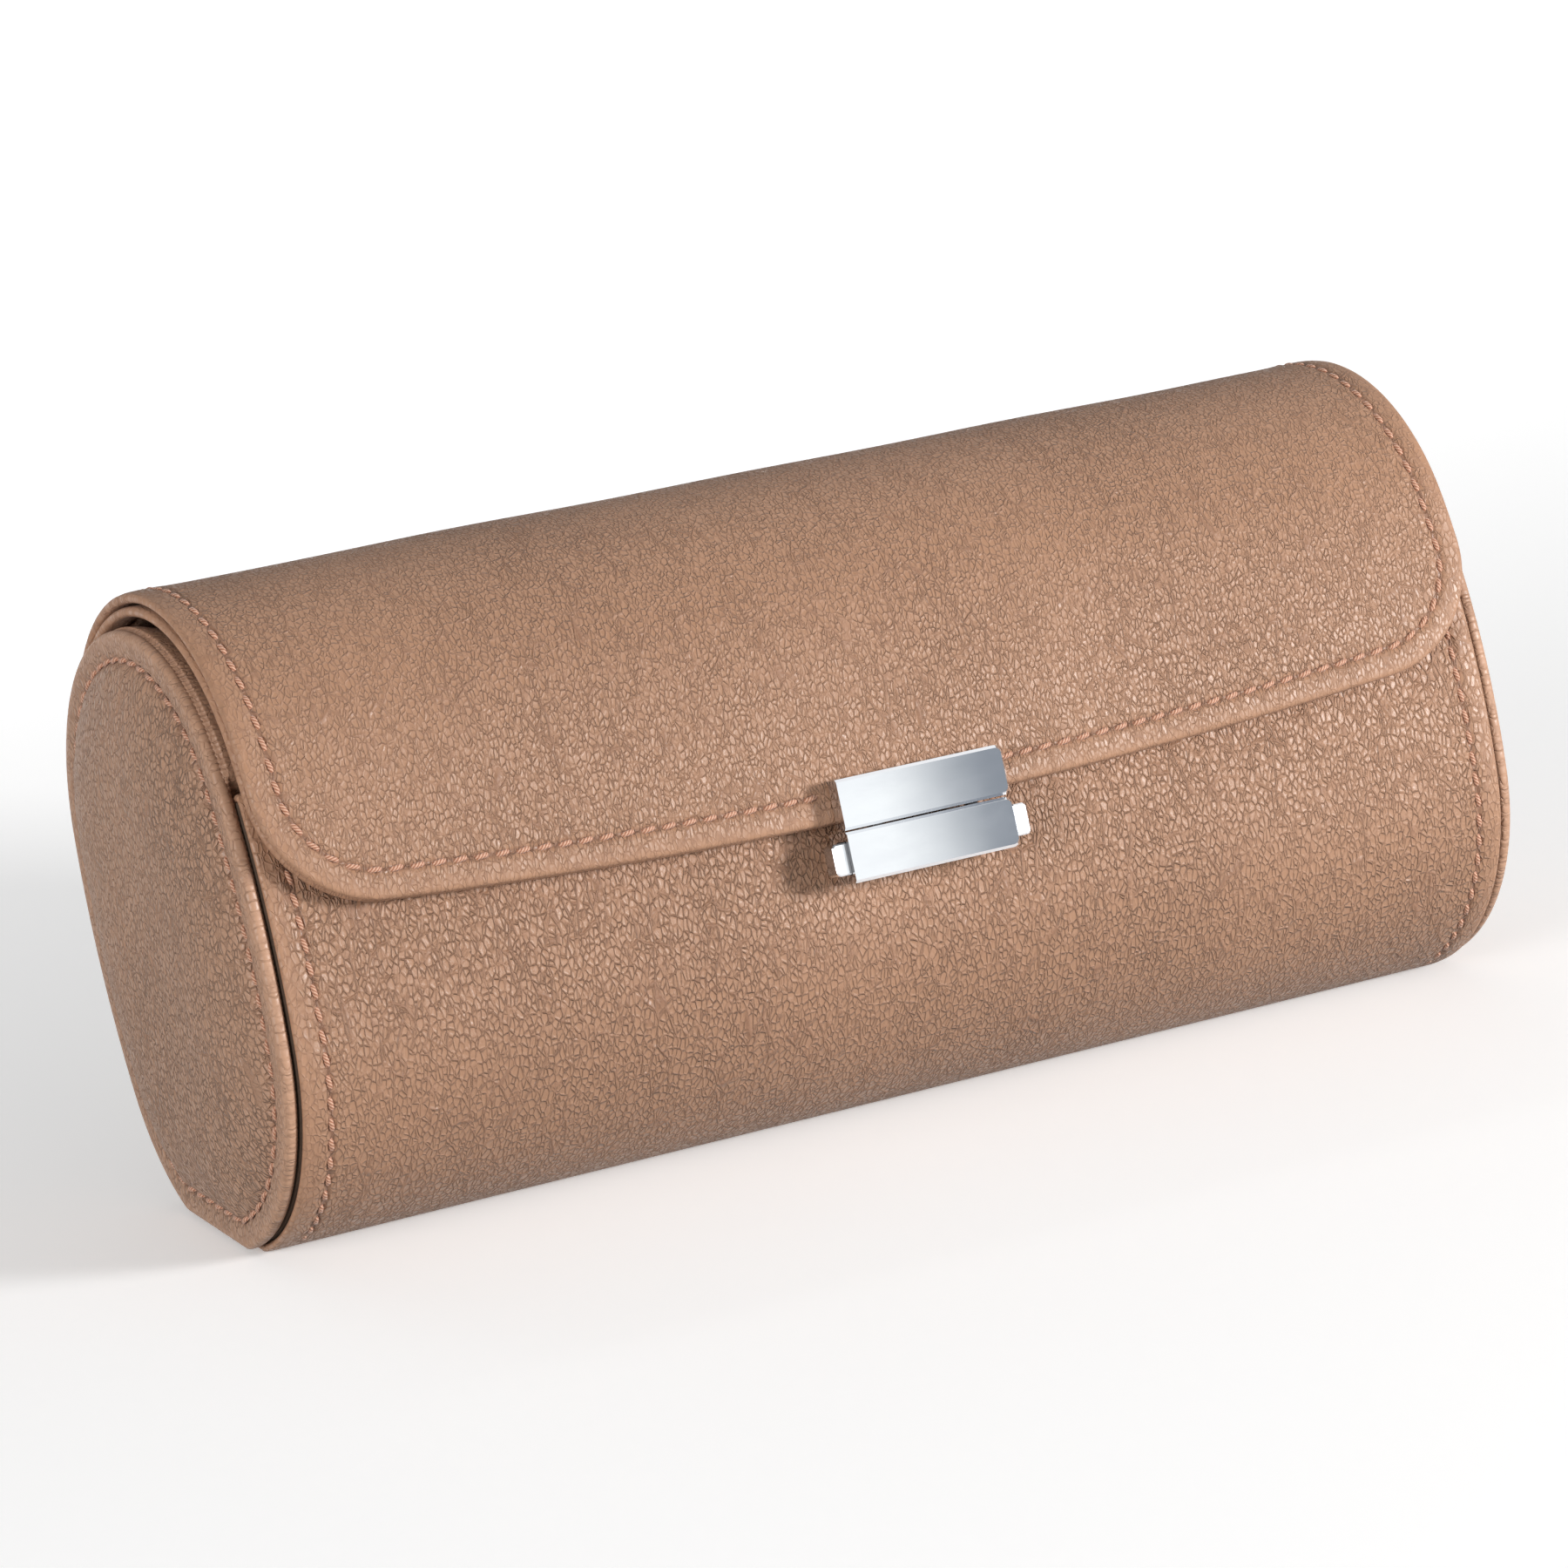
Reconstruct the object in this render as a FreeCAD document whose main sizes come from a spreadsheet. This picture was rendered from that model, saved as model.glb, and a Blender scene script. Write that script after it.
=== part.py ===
import FreeCAD, Part
import math
import os
import Sketcher
from FreeCAD import Placement, Rotation, Vector

# A stiff-walled leather roll case: an oval tube of covered board, closed by two padded ends,
# with a flap that swings over the mouth and locks on a two-bar pinch clasp.
# +X runs along the roll, -Y is the front (clasp), +Z is up, and the origin is the middle of
# the flat that the roll rests on. The oval leans back, so each piece is drawn in the upright
# "case frame" (its origin is the middle of the oval) and then placed.

doc = FreeCAD.newDocument("roll_case")
sheet = doc.addObject("Spreadsheet::Sheet", "Sheet")

DIMENSIONS = {
    # oval section, over the outer leather
    "wrap_length": 240.0,
    "oval_height": 110.5,
    "oval_depth": 80.0,
    "side_radius": 130.0,
    "lean_angle": 20.0,
    "rest_width": 26.0,
    # walls
    "leather_thick": 1.6,
    "board_thick": 1.6,
    "lining_thick": 0.8,
    "front_edge_height": 19.0,
    "hinge_height": 33.0,
    "hinge_gap": 0.5,
    # flap: gaps to the oval at the hinge and in front, and how its thickness is shared
    "flap_inner_front": 0.6,
    "flap_outer_front": 4.6,
    "flap_inner_hinge": -2.4,
    "flap_outer_hinge": 0.0,
    "lining_share": 0.3,
    "board_share": 0.6,
    "flap_edge_low": -6.6,
    "flap_edge_radius": 1200.0,
    "flap_corner_radius": 22.0,
    "flap_board_inset": 5.0,
    # ends
    "gusset_inset": 4.1,
    "gusset_thick": 1.4,
    "gusset_depth": 12.0,
    "end_gap": 0.2,
    "end_board_thick": 1.2,
    "end_board_inset": 2.2,
    "end_lining_thick": 1.0,
    "flange_inset": 1.0,
    "flange_thick": 1.3,
    "dome_inset": 6.5,
    "dome_height": 6.2,
    "cover_thick": 1.2,
    # clasp, in the clasp frame: y = 0 is the front wall, z = 0 is the line between the bars
    "clasp_drop": 8.1,
    "bar_length": 33.0,
    "bar_height": 8.9,
    "bar_gap": 0.3,
    "bar_face": 8.0,
    "bar_corner": 1.6,
    "bar_bevel": 0.5,
    "striker_back": 4.75,
    "wall_thick": 0.9,
    "plate_front": 0.9,
    "plate_back": 0.1,
    "plate_edge": 0.5,
    "tongue_front": 6.4,
    "tongue_thick": 1.2,
    "tongue_outer": 10.4,
    "tongue_inner": 8.5,
    "tongue_root": 3.0,
    "tongue_reach": 4.6,
    "hook_inner": 7.3,
    "hook_height": 1.2,
    "slot_clearance": 0.35,
    "swing_clearance": 0.9,
    "button_reach": 2.8,
    "button_height": 5.6,
    "button_front": 7.0,
    "button_back": 3.5,
    "button_clearance": 0.15,
    "window_clearance": 0.08,
    "tab_corner": 0.8,
    "tab_bevel": 0.25,
    "tab_inside": 1.6,
    "neck_length": 1.6,
    "neck_setback": 1.0,
    "button_travel": 1.5,
    "slider_front": 2.8,
    "slider_back": 1.05,
    "slider_height": 5.0,
    "nose_tip": 7.1,
    "nose_width": 1.7,
    "nose_front": 5.2,
    "nose_height": 1.5,
    "post_width": 1.0,
    "post_height": 2.8,
    "spring_gap": 0.1,
    "spring_strip": 0.45,
    "spring_height": 1.8,
    "spring_width": 1.2,
    "spring_folds": 7.0,
    "rivet_radius": 1.0,
    "rivet_offset": 13.0,
    "rivet_socket": 0.6,
    "backplate_length": 29.0,
    "backplate_height": 5.6,
    "backplate_thick": 0.6,
    # brush holder on the back wall
    "panel_thick": 1.6,
    "panel_half_angle": 10.5,
    "panel_length": 215.0,
    "band_width": 20.0,
    "band_spread": 60.0,
    "band_thick": 0.8,
    "loop_width": 8.8,
    "loop_leg": 2.5,
    "loop_foot": 0.4,
    "loop_count": 4.0,
    "loop_step": 5.15,
}

for row, (alias, value) in enumerate(DIMENSIONS.items(), start=1):
    sheet.set("A%d" % row, alias)
    sheet.set("B%d" % row, str(value))
    sheet.setAlias("B%d" % row, alias)
doc.recompute()


def dim(alias):
    """The value of one driving dimension, read from the sheet."""
    return float(sheet.get(alias))


# ---------------------------------------------------------------- section geometry

HALF_HEIGHT = dim("oval_height") / 2
HALF_DEPTH = dim("oval_depth") / 2
SIDE_RADIUS = dim("side_radius")
SIDE_SHIFT = SIDE_RADIUS - HALF_DEPTH
# radius of the top and bottom arcs that run tangent into the two side arcs
END_RADIUS = ((SIDE_RADIUS ** 2 - SIDE_SHIFT ** 2 - HALF_HEIGHT ** 2)
              / (2 * (SIDE_RADIUS - HALF_HEIGHT)))
END_SHIFT = HALF_HEIGHT - END_RADIUS
JOIN_ANGLE = math.atan2(END_SHIFT, SIDE_SHIFT)
LEAN = math.radians(dim("lean_angle"))
REST_SAG = END_RADIUS - math.sqrt(END_RADIUS ** 2 - (dim("rest_width") / 2) ** 2)
REST_ANGLE = 1.5 * math.pi + LEAN
FRONT_EDGE_ANGLE = math.pi - math.asin(dim("front_edge_height") / SIDE_RADIUS)
HINGE_ANGLE = math.asin((dim("hinge_height") - END_SHIFT) / END_RADIUS)
FLAP_START_ANGLE = HINGE_ANGLE + dim("hinge_gap") / END_RADIUS
TOP, FRONT, BOTTOM, BACK = "top", "front", "bottom", "back"


def arc_centre(side, shift=0.0):
    """Centre (y, z) of one arc of the oval; a shifted oval moves forward and up alike."""
    centre = {TOP: (0.0, END_SHIFT), BOTTOM: (0.0, -END_SHIFT),
              FRONT: (SIDE_SHIFT, 0.0), BACK: (-SIDE_SHIFT, 0.0)}[side]
    return Vector(centre[0] - shift, centre[1] + shift, 0)


def arc_radius(side, offset):
    return (END_RADIUS if side in (TOP, BOTTOM) else SIDE_RADIUS) + offset


def arc(side, offset, start, end, shift=0.0):
    circle = Part.Circle(arc_centre(side, shift), Vector(0, 0, 1), arc_radius(side, offset))
    return Part.ArcOfCircle(circle, start, end)


def bottom_pieces(offset):
    """The bottom arc with the resting flat cut across it."""
    radius = arc_radius(BOTTOM, offset)
    half = math.acos((radius - REST_SAG) / radius)
    first = arc(BOTTOM, offset, math.pi + JOIN_ANGLE, REST_ANGLE - half)
    last = arc(BOTTOM, offset, REST_ANGLE + half, 2 * math.pi - JOIN_ANGLE)
    return [first, Part.LineSegment(first.EndPoint, last.StartPoint), last]


def closed_oval(offset):
    pieces = [arc(BACK, offset, -JOIN_ANGLE, JOIN_ANGLE),
              arc(TOP, offset, JOIN_ANGLE, math.pi - JOIN_ANGLE),
              arc(FRONT, offset, math.pi - JOIN_ANGLE, math.pi + JOIN_ANGLE)]
    return pieces + bottom_pieces(offset)


def wrap_path(offset):
    """From the front edge down the front, under the bottom and up the back to the hinge."""
    return ([arc(FRONT, offset, FRONT_EDGE_ANGLE, math.pi + JOIN_ANGLE)]
            + bottom_pieces(offset)
            + [arc(BACK, offset, -JOIN_ANGLE, JOIN_ANGLE),
               arc(TOP, offset, JOIN_ANGLE, HINGE_ANGLE)])


def angle_on_ray(angle, offset, shift):
    """Angle on the shifted top arc where a ray from the unshifted centre meets it."""
    ray = Vector(math.cos(angle), math.sin(angle), 0)
    move = arc_centre(TOP, shift) - arc_centre(TOP)
    along = move.dot(ray)
    reach = along + math.sqrt(arc_radius(TOP, offset) ** 2 - move.dot(move) + along ** 2)
    point = ray * reach - move
    return math.atan2(point.y, point.x)


def flap_offsets(share):
    """Offset and shift of the flap's surface: share 0 is its inside and share 1 its outside."""
    front = dim("flap_inner_front") * (1 - share) + dim("flap_outer_front") * share
    hinge = dim("flap_inner_hinge") * (1 - share) + dim("flap_outer_hinge") * share
    lost = math.cos(HINGE_ANGLE) - math.sin(HINGE_ANGLE)
    shift = (front - hinge) / (1 + lost)
    return front - shift, shift


def flap_path(share, start_angle, end_angle):
    """From the hinge over the top and down the front."""
    offset, shift = flap_offsets(share)
    start = angle_on_ray(start_angle, offset, shift)
    return [arc(TOP, offset, start, math.pi - JOIN_ANGLE, shift),
            arc(FRONT, offset, math.pi - JOIN_ANGLE, end_angle, shift)]


def strip(outer, inner):
    """Closed outline between two open paths that run the same way."""
    ends = [Part.LineSegment(outer[-1].EndPoint, inner[-1].EndPoint),
            Part.LineSegment(inner[0].StartPoint, outer[0].StartPoint)]
    return outer + [ends[0]] + list(reversed(inner)) + [ends[1]]


# ---------------------------------------------------------------- frames

REST_POINT = Vector(0, (END_RADIUS - REST_SAG) * math.sin(LEAN),
                    -END_SHIFT - (END_RADIUS - REST_SAG) * math.cos(LEAN))
LEAN_TURN = Rotation(Vector(1, 0, 0), -dim("lean_angle"))
CASE_FRAME = Placement(LEAN_TURN.multVec(REST_POINT) * -1, LEAN_TURN)
CLASP_ANGLE = math.asin(dim("clasp_drop") / SIDE_RADIUS)
CLASP_POINT = Vector(0, SIDE_SHIFT - SIDE_RADIUS * math.cos(CLASP_ANGLE), -dim("clasp_drop"))
CLASP_IN_CASE = Placement(CLASP_POINT, Rotation(Vector(1, 0, 0), math.degrees(CLASP_ANGLE)))
CLASP_FRAME = CASE_FRAME.multiply(CLASP_IN_CASE)
LOOP_IN_CASE = Placement(Vector(0, -SIDE_SHIFT, 0), Rotation())
LOOP_FRAME = CASE_FRAME.multiply(LOOP_IN_CASE)
HINGE_POINT = Vector(0, END_RADIUS * math.cos(HINGE_ANGLE), dim("hinge_height"))


def slope_of_swing():
    """How far the tongue moves forward for each millimetre that it rises as the flap opens."""
    reach = CLASP_IN_CASE.inverse().multVec(HINGE_POINT)
    middle = -dim("tongue_reach") / 2
    return (reach.z - middle) / (reach.y + dim("tongue_front"))


# ---------------------------------------------------------------- modelling helpers


def new_body(label, frame):
    body = doc.addObject("PartDesign::Body", label)
    body.Label = label
    body.Placement = frame
    return body


def origin_plane(body, role):
    for feature in body.Origin.OriginFeatures:
        if feature.Role == role:
            return feature
    raise ValueError(role)


def new_sketch(body, role, name, level=None):
    """A sketch on an origin plane of its body, moved along the plane's normal by level."""
    sketch = body.newObject("Sketcher::SketchObject", name)
    sketch.AttachmentSupport = [(origin_plane(body, role), "")]
    sketch.MapMode = "FlatFace"
    if level is not None:
        sketch.setExpression("AttachmentOffset.Base.z", level)
    return sketch


def fixed_outline(sketch, curves):
    for curve in curves:
        index = sketch.addGeometry(curve, False)
        sketch.addConstraint(Sketcher.Constraint("Block", index))


def rectangle(sketch, left, right, low, high):
    """A rectangle whose four sides are expressions measured from the sketch's origin."""
    corners = [Vector(0, 0, 0), Vector(1, 0, 0), Vector(1, 1, 0), Vector(0, 1, 0)]
    first = None
    for k in range(4):
        index = sketch.addGeometry(Part.LineSegment(corners[k], corners[(k + 1) % 4]), False)
        first = index if first is None else first
    for k in range(4):
        sketch.addConstraint(Sketcher.Constraint("Coincident", first + k, 2,
                                                 first + (k + 1) % 4, 1))
    for k, kind in enumerate(("Horizontal", "Vertical", "Horizontal", "Vertical")):
        sketch.addConstraint(Sketcher.Constraint(kind, first + k))
    for kind, point, expression in (("DistanceX", (first, 1), left), ("DistanceY", (first, 1), low),
                                    ("DistanceX", (first + 1, 2), right),
                                    ("DistanceY", (first + 1, 2), high)):
        index = sketch.addConstraint(Sketcher.Constraint(kind, -1, 1, point[0], point[1], 1.0))
        sketch.setExpression("Constraints[%d]" % index, expression)


def circle_at(sketch, across, up, radius):
    index = sketch.addGeometry(Part.Circle(Vector(1, 1, 0), Vector(0, 0, 1), 1.0), False)
    for kind, expression in (("DistanceX", across), ("DistanceY", up)):
        number = sketch.addConstraint(Sketcher.Constraint(kind, -1, 1, index, 3, 1.0))
        sketch.setExpression("Constraints[%d]" % number, expression)
    number = sketch.addConstraint(Sketcher.Constraint("Radius", index, 1.0))
    sketch.setExpression("Constraints[%d]" % number, radius)


def extrude(body, sketch, name, length, cut=False, middle=False, reverse=False):
    feature = body.newObject("PartDesign::Pocket" if cut else "PartDesign::Pad", name)
    feature.Profile = sketch
    feature.setExpression("Length", length)
    feature.Midplane = middle
    feature.Reversed = reverse
    doc.recompute()
    return feature


def block(body, name, x, y, z, cut=False):
    """A box between pairs of expressions: added to the body, or cut from it."""
    sketch = new_sketch(body, "XY_Plane", name + "_sketch", z[1] if cut else z[0])
    rectangle(sketch, x[0], x[1], y[0], y[1])
    doc.recompute()
    before = body.Shape.Volume if cut else 0.0
    feature = extrude(body, sketch, name, "(%s) - (%s)" % (z[1], z[0]), cut)
    if cut and not body.Shape.Volume < before - 1e-6:
        raise ValueError("%s cuts nothing" % name)
    return feature


def dress(body, kind, name, feature, edges, size, prop):
    doc.recompute()
    dressing = body.newObject(kind, name)
    dressing.Base = (feature, edges)
    dressing.setExpression(prop, size)
    doc.recompute()
    return dressing


def edges_where(feature, test):
    return ["Edge%d" % (k + 1) for k, edge in enumerate(feature.Shape.Edges) if test(edge)]


def mirrored_pair(limits, side):
    """A pair of x limits, written for the right-hand side, turned over for the left."""
    return limits if side > 0 else ("-(%s)" % limits[1], "-(%s)" % limits[0])


# ---------------------------------------------------------------- walls


def wrap_layer(label, outer_offset, inner_offset):
    body = new_body(label, CASE_FRAME)
    sketch = new_sketch(body, "YZ_Plane", label + "_section")
    fixed_outline(sketch, strip(wrap_path(outer_offset), wrap_path(inner_offset)))
    extrude(body, sketch, label + "_pad", "Sheet.wrap_length", middle=True)
    return body


def front_cut(body, name, curves):
    """Cuts the outline, drawn as seen from the front, out of the front half of a wall."""
    sketch = new_sketch(body, "XZ_Plane", name + "_sketch")
    for curve in curves:
        fixed_outline(sketch, [curve])
    doc.recompute()
    before = body.Shape.Volume
    extrude(body, sketch, name, "Sheet.oval_depth", cut=True, reverse=True)
    if not body.Shape.Volume < before - 1e-6:
        raise ValueError("%s cuts nothing" % name)


def polygon(points):
    return [Part.LineSegment(a, b) for a, b in zip(points, points[1:] + points[:1])]


def window(half_width, low, high):
    return polygon([Vector(-half_width, low, 0), Vector(half_width, low, 0),
                    Vector(half_width, high, 0), Vector(-half_width, high, 0)])


def rivet_holes(body, name, clasp_height, depth):
    """Two clearance holes through a wall, on the rivets' axes at that wall's depth."""
    clearance = 0.3
    height = CLASP_IN_CASE.multVec(Vector(0, depth, clasp_height)).z
    for side in (-1, 1):
        centre = Vector(side * dim("rivet_offset"), height, 0)
        ring = Part.Circle(centre, Vector(0, 0, 1), dim("rivet_radius") + clearance)
        front_cut(body, "%s_%s" % (name, "left" if side < 0 else "right"), [ring])


LOCK_MIDDLE = -(dim("bar_gap") + dim("bar_height")) / 2
STRIKER_MIDDLE = 5.4
LOCK_PLATE_DEPTH = 2.3
STRIKER_PLATE_DEPTH = -2.5


def backplate_window(body, name, clasp_height, depth):
    clearance = 0.35
    middle = CLASP_IN_CASE.multVec(Vector(0, depth, clasp_height)).z
    half = dim("backplate_height") / 2 + clearance
    front_cut(body, name, window(dim("backplate_length") / 2 + clearance,
                                 middle - half, middle + half))


def make_wrap():
    leather = dim("leather_thick")
    board = leather + dim("board_thick")
    lining = board + dim("lining_thick")
    outer = wrap_layer("wrap_leather", 0.0, -leather)
    rivet_holes(outer, "lock_rivet_hole", LOCK_MIDDLE, leather / 2)
    middle = wrap_layer("wrap_board", -leather, -board)
    backplate_window(middle, "lock_backplate_window", LOCK_MIDDLE, LOCK_PLATE_DEPTH)
    inner = wrap_layer("wrap_lining", -board, -lining)
    return [outer, middle, inner]


def flap_trim(half_length, low, corner):
    """What is cut away below the flap: its lower edge bows down and its corners are round."""
    edge = dim("flap_edge_radius")
    edge_centre = low + edge
    corner_x = half_length - corner
    corner_z = edge_centre - math.sqrt((edge - corner) ** 2 - corner_x ** 2)
    lean = math.atan2(edge_centre - corner_z, corner_x)
    left, right = Vector(-corner_x, corner_z, 0), Vector(corner_x, corner_z, 0)
    up = Vector(0, 0, 1)
    corners = [Part.ArcOfCircle(Part.Circle(left, up, corner), math.pi, math.pi + lean),
               Part.ArcOfCircle(Part.Circle(Vector(0, edge_centre, 0), up, edge),
                                math.pi + lean, 2 * math.pi - lean),
               Part.ArcOfCircle(Part.Circle(right, up, corner), -lean, 0.0)]
    beyond = half_length + 10.0
    bottom = low - 30.0
    points = [corners[2].EndPoint, Vector(beyond, corner_z, 0), Vector(beyond, bottom, 0),
              Vector(-beyond, bottom, 0), Vector(-beyond, corner_z, 0), corners[0].StartPoint]
    return corners + [Part.LineSegment(a, b) for a, b in zip(points, points[1:])]


def flap_layer(label, inner_share, outer_share, inset):
    """One ply of the flap, set back by inset from the ends, the hinge and the lower edge."""
    body = new_body(label, CASE_FRAME)
    start = FLAP_START_ANGLE + inset / END_RADIUS
    end = math.pi + math.asin((5.0 - dim("flap_edge_low")) / SIDE_RADIUS)
    sketch = new_sketch(body, "YZ_Plane", label + "_section")
    fixed_outline(sketch, strip(flap_path(outer_share, start, end),
                                flap_path(inner_share, start, end)))
    extrude(body, sketch, label + "_pad", "Sheet.wrap_length - 2 * %.3f" % inset, middle=True)
    front_cut(body, label + "_trim",
              flap_trim(dim("wrap_length") / 2 - inset, dim("flap_edge_low") + inset,
                        dim("flap_corner_radius") - inset))
    return body


def make_flap():
    lining, board = dim("lining_share"), dim("board_share")
    inner = flap_layer("flap_lining", 0.0, lining, 0.0)
    middle = flap_layer("flap_board", lining, board, dim("flap_board_inset"))
    backplate_window(middle, "striker_backplate_window", STRIKER_MIDDLE, STRIKER_PLATE_DEPTH)
    outer = flap_layer("flap_leather", board, 1.0, 0.0)
    rivet_holes(outer, "striker_rivet_hole", STRIKER_MIDDLE, -dim("flap_outer_front") + 0.8)
    return [inner, middle, outer]


# ---------------------------------------------------------------- padded ends


def oval_plate(label, side, inset, start, thickness, hollow=None):
    """An oval plate, or a ring when hollow is given, from start outwards along x."""
    body = new_body(label, CASE_FRAME)
    low, high = mirrored_pair((start, "(%s) + (%s)" % (start, thickness)), side)
    sketch = new_sketch(body, "YZ_Plane", label + "_outline", low)
    fixed_outline(sketch, closed_oval(-inset))
    if hollow is not None:
        fixed_outline(sketch, closed_oval(-hollow))
    extrude(body, sketch, label + "_pad", "(%s) - (%s)" % (high, low))
    return body


def dome(body, kind, name, side, base, inset, height):
    """A crowned pad: ovals that shrink faster towards the top."""
    steps = ((0.0, 0.0), (1.0, 0.42), (5.0, 0.75), (12.0, 0.93), (20.0, 1.0))
    sketches = []
    for k, (narrower, share) in enumerate(steps):
        level = "%d * (%s + %.4f)" % (side, base, height * share)
        sketch = new_sketch(body, "YZ_Plane", "%s_%d" % (name, k), level)
        fixed_outline(sketch, closed_oval(-inset - narrower))
        sketches.append(sketch)
    loft = body.newObject(kind, name)
    loft.Profile = sketches[0]
    loft.Sections = sketches[1:]
    doc.recompute()
    return loft


BOARD_START = "Sheet.wrap_length / 2 + Sheet.end_gap"
BOARD_END = BOARD_START + " + Sheet.end_board_thick"


def end_cover(label, side):
    """The leather over one end: a stitched flange round a raised pad."""
    body = oval_plate(label, side, dim("flange_inset"), BOARD_END, "Sheet.flange_thick")
    dome(body, "PartDesign::AdditiveLoft", label + "_dome", side,
         BOARD_END + " + Sheet.flange_thick / 2", dim("dome_inset"),
         dim("dome_height") - dim("flange_thick") / 2)
    dome(body, "PartDesign::SubtractiveLoft", label + "_hollow", side, BOARD_END,
         dim("dome_inset") + dim("cover_thick"), dim("dome_height") - dim("cover_thick"))
    return body


def end_padding(label, side):
    body = new_body(label, CASE_FRAME)
    dome(body, "PartDesign::AdditiveLoft", label + "_pad", side, BOARD_END,
         dim("dome_inset") + dim("cover_thick"), dim("dome_height") - dim("cover_thick"))
    return body


def make_end(side):
    name = "left" if side < 0 else "right"
    gusset_inner = dim("gusset_inset") + dim("gusset_thick")
    gusset_start = BOARD_START + " - Sheet.gusset_depth"
    lining_start = BOARD_START + " - Sheet.end_lining_thick"
    return [
        end_cover("end_cover_" + name, side),
        end_padding("end_padding_" + name, side),
        oval_plate("end_board_" + name, side, dim("end_board_inset"), BOARD_START,
                   "Sheet.end_board_thick"),
        oval_plate("end_gusset_" + name, side, dim("gusset_inset"), gusset_start,
                   "Sheet.gusset_depth", gusset_inner),
        oval_plate("end_lining_" + name, side, gusset_inner, lining_start,
                   "Sheet.end_lining_thick"),
    ]


# ---------------------------------------------------------------- clasp

BAR_X = ("-Sheet.bar_length / 2", "Sheet.bar_length / 2")
STRIKER_Z = ("Sheet.bar_gap / 2", "Sheet.bar_gap / 2 + Sheet.bar_height")
LOCK_Z = ("-Sheet.bar_gap / 2 - Sheet.bar_height", "-Sheet.bar_gap / 2")
MIDDLE_Z = "-(Sheet.bar_gap + Sheet.bar_height) / 2"


def soften_bar(body, feature):
    """Rounds a bar's two right-hand corners and bevels its rim. The left end is cut square."""
    end = dim("bar_length") / 2
    corners = edges_where(feature, lambda e: len(e.Vertexes) == 2 and e.Length > 2.5
                          and abs(e.tangentAt(e.FirstParameter).y) > 0.99
                          and abs(e.Vertexes[0].Point.x - end) < 0.01)
    rounded = dress(body, "PartDesign::Fillet", body.Label + "_corners", feature, corners,
                    "Sheet.bar_corner", "Radius")
    rim = edges_where(rounded, lambda e: all(abs(v.Point.y + dim("bar_face")) < 0.01
                                             for v in e.Vertexes)
                      and any(v.Point.x > 0.01 - end for v in e.Vertexes))
    dress(body, "PartDesign::Chamfer", body.Label + "_bevel", rounded, rim,
          "Sheet.bar_bevel", "Size")


def striker_bar():
    body = new_body("striker_bar", CLASP_FRAME)
    bar = block(body, "striker_bar_block", BAR_X, ("-Sheet.bar_face", "-Sheet.striker_back"),
                STRIKER_Z)
    soften_bar(body, bar)
    block(body, "tongue_socket", ("-Sheet.tongue_outer", "Sheet.tongue_outer"),
          ("-Sheet.tongue_front", "-Sheet.tongue_front + Sheet.tongue_thick"),
          ("Sheet.bar_gap / 2", "Sheet.bar_gap / 2 + Sheet.tongue_root"), cut=True)
    sketch = new_sketch(body, "XZ_Plane", "rivet_sockets_sketch", "Sheet.striker_back")
    for across in ("-Sheet.rivet_offset", "Sheet.rivet_offset"):
        circle_at(sketch, across, "%.3f" % STRIKER_MIDDLE, "Sheet.rivet_radius")
    doc.recompute()
    extrude(body, sketch, "rivet_sockets", "Sheet.rivet_socket", cut=True, reverse=True)
    return body


def striker_tongue():
    """A plate held in the striker bar, with two hooked prongs that lean along the swing."""
    thick = dim("tongue_thick")
    front = -dim("tongue_front")
    top, root = dim("bar_gap") / 2, dim("bar_gap") / 2 + dim("tongue_root")
    run = (dim("tongue_reach") + top) * slope_of_swing()
    low = -dim("tongue_reach")
    side_view = polygon([Vector(0, front, root), Vector(0, front, top), Vector(0, front + run, low),
                         Vector(0, front + run + thick, low), Vector(0, front + thick, top),
                         Vector(0, front + thick, root)])
    width = 2 * dim("tongue_outer")
    profile = Part.Face(Part.Wire([edge.toShape() for edge in side_view]))
    sheet_metal = profile.extrude(Vector(width, 0, 0)).translated(Vector(-width / 2, 0, 0))
    inner, tip = dim("tongue_inner"), dim("hook_inner")
    hook_top = low + dim("hook_height")
    between = Part.makeBox(2 * tip, 20.0, hook_top - low, Vector(-tip, -15.0, low))
    above = Part.makeBox(2 * inner, 20.0, top - hook_top, Vector(-inner, -15.0, hook_top))
    feature = doc.addObject("Part::Feature", "striker_tongue")
    feature.Label = "striker_tongue"
    feature.Shape = sheet_metal.cut(between).cut(above)
    feature.Placement = CLASP_FRAME
    return feature


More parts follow.
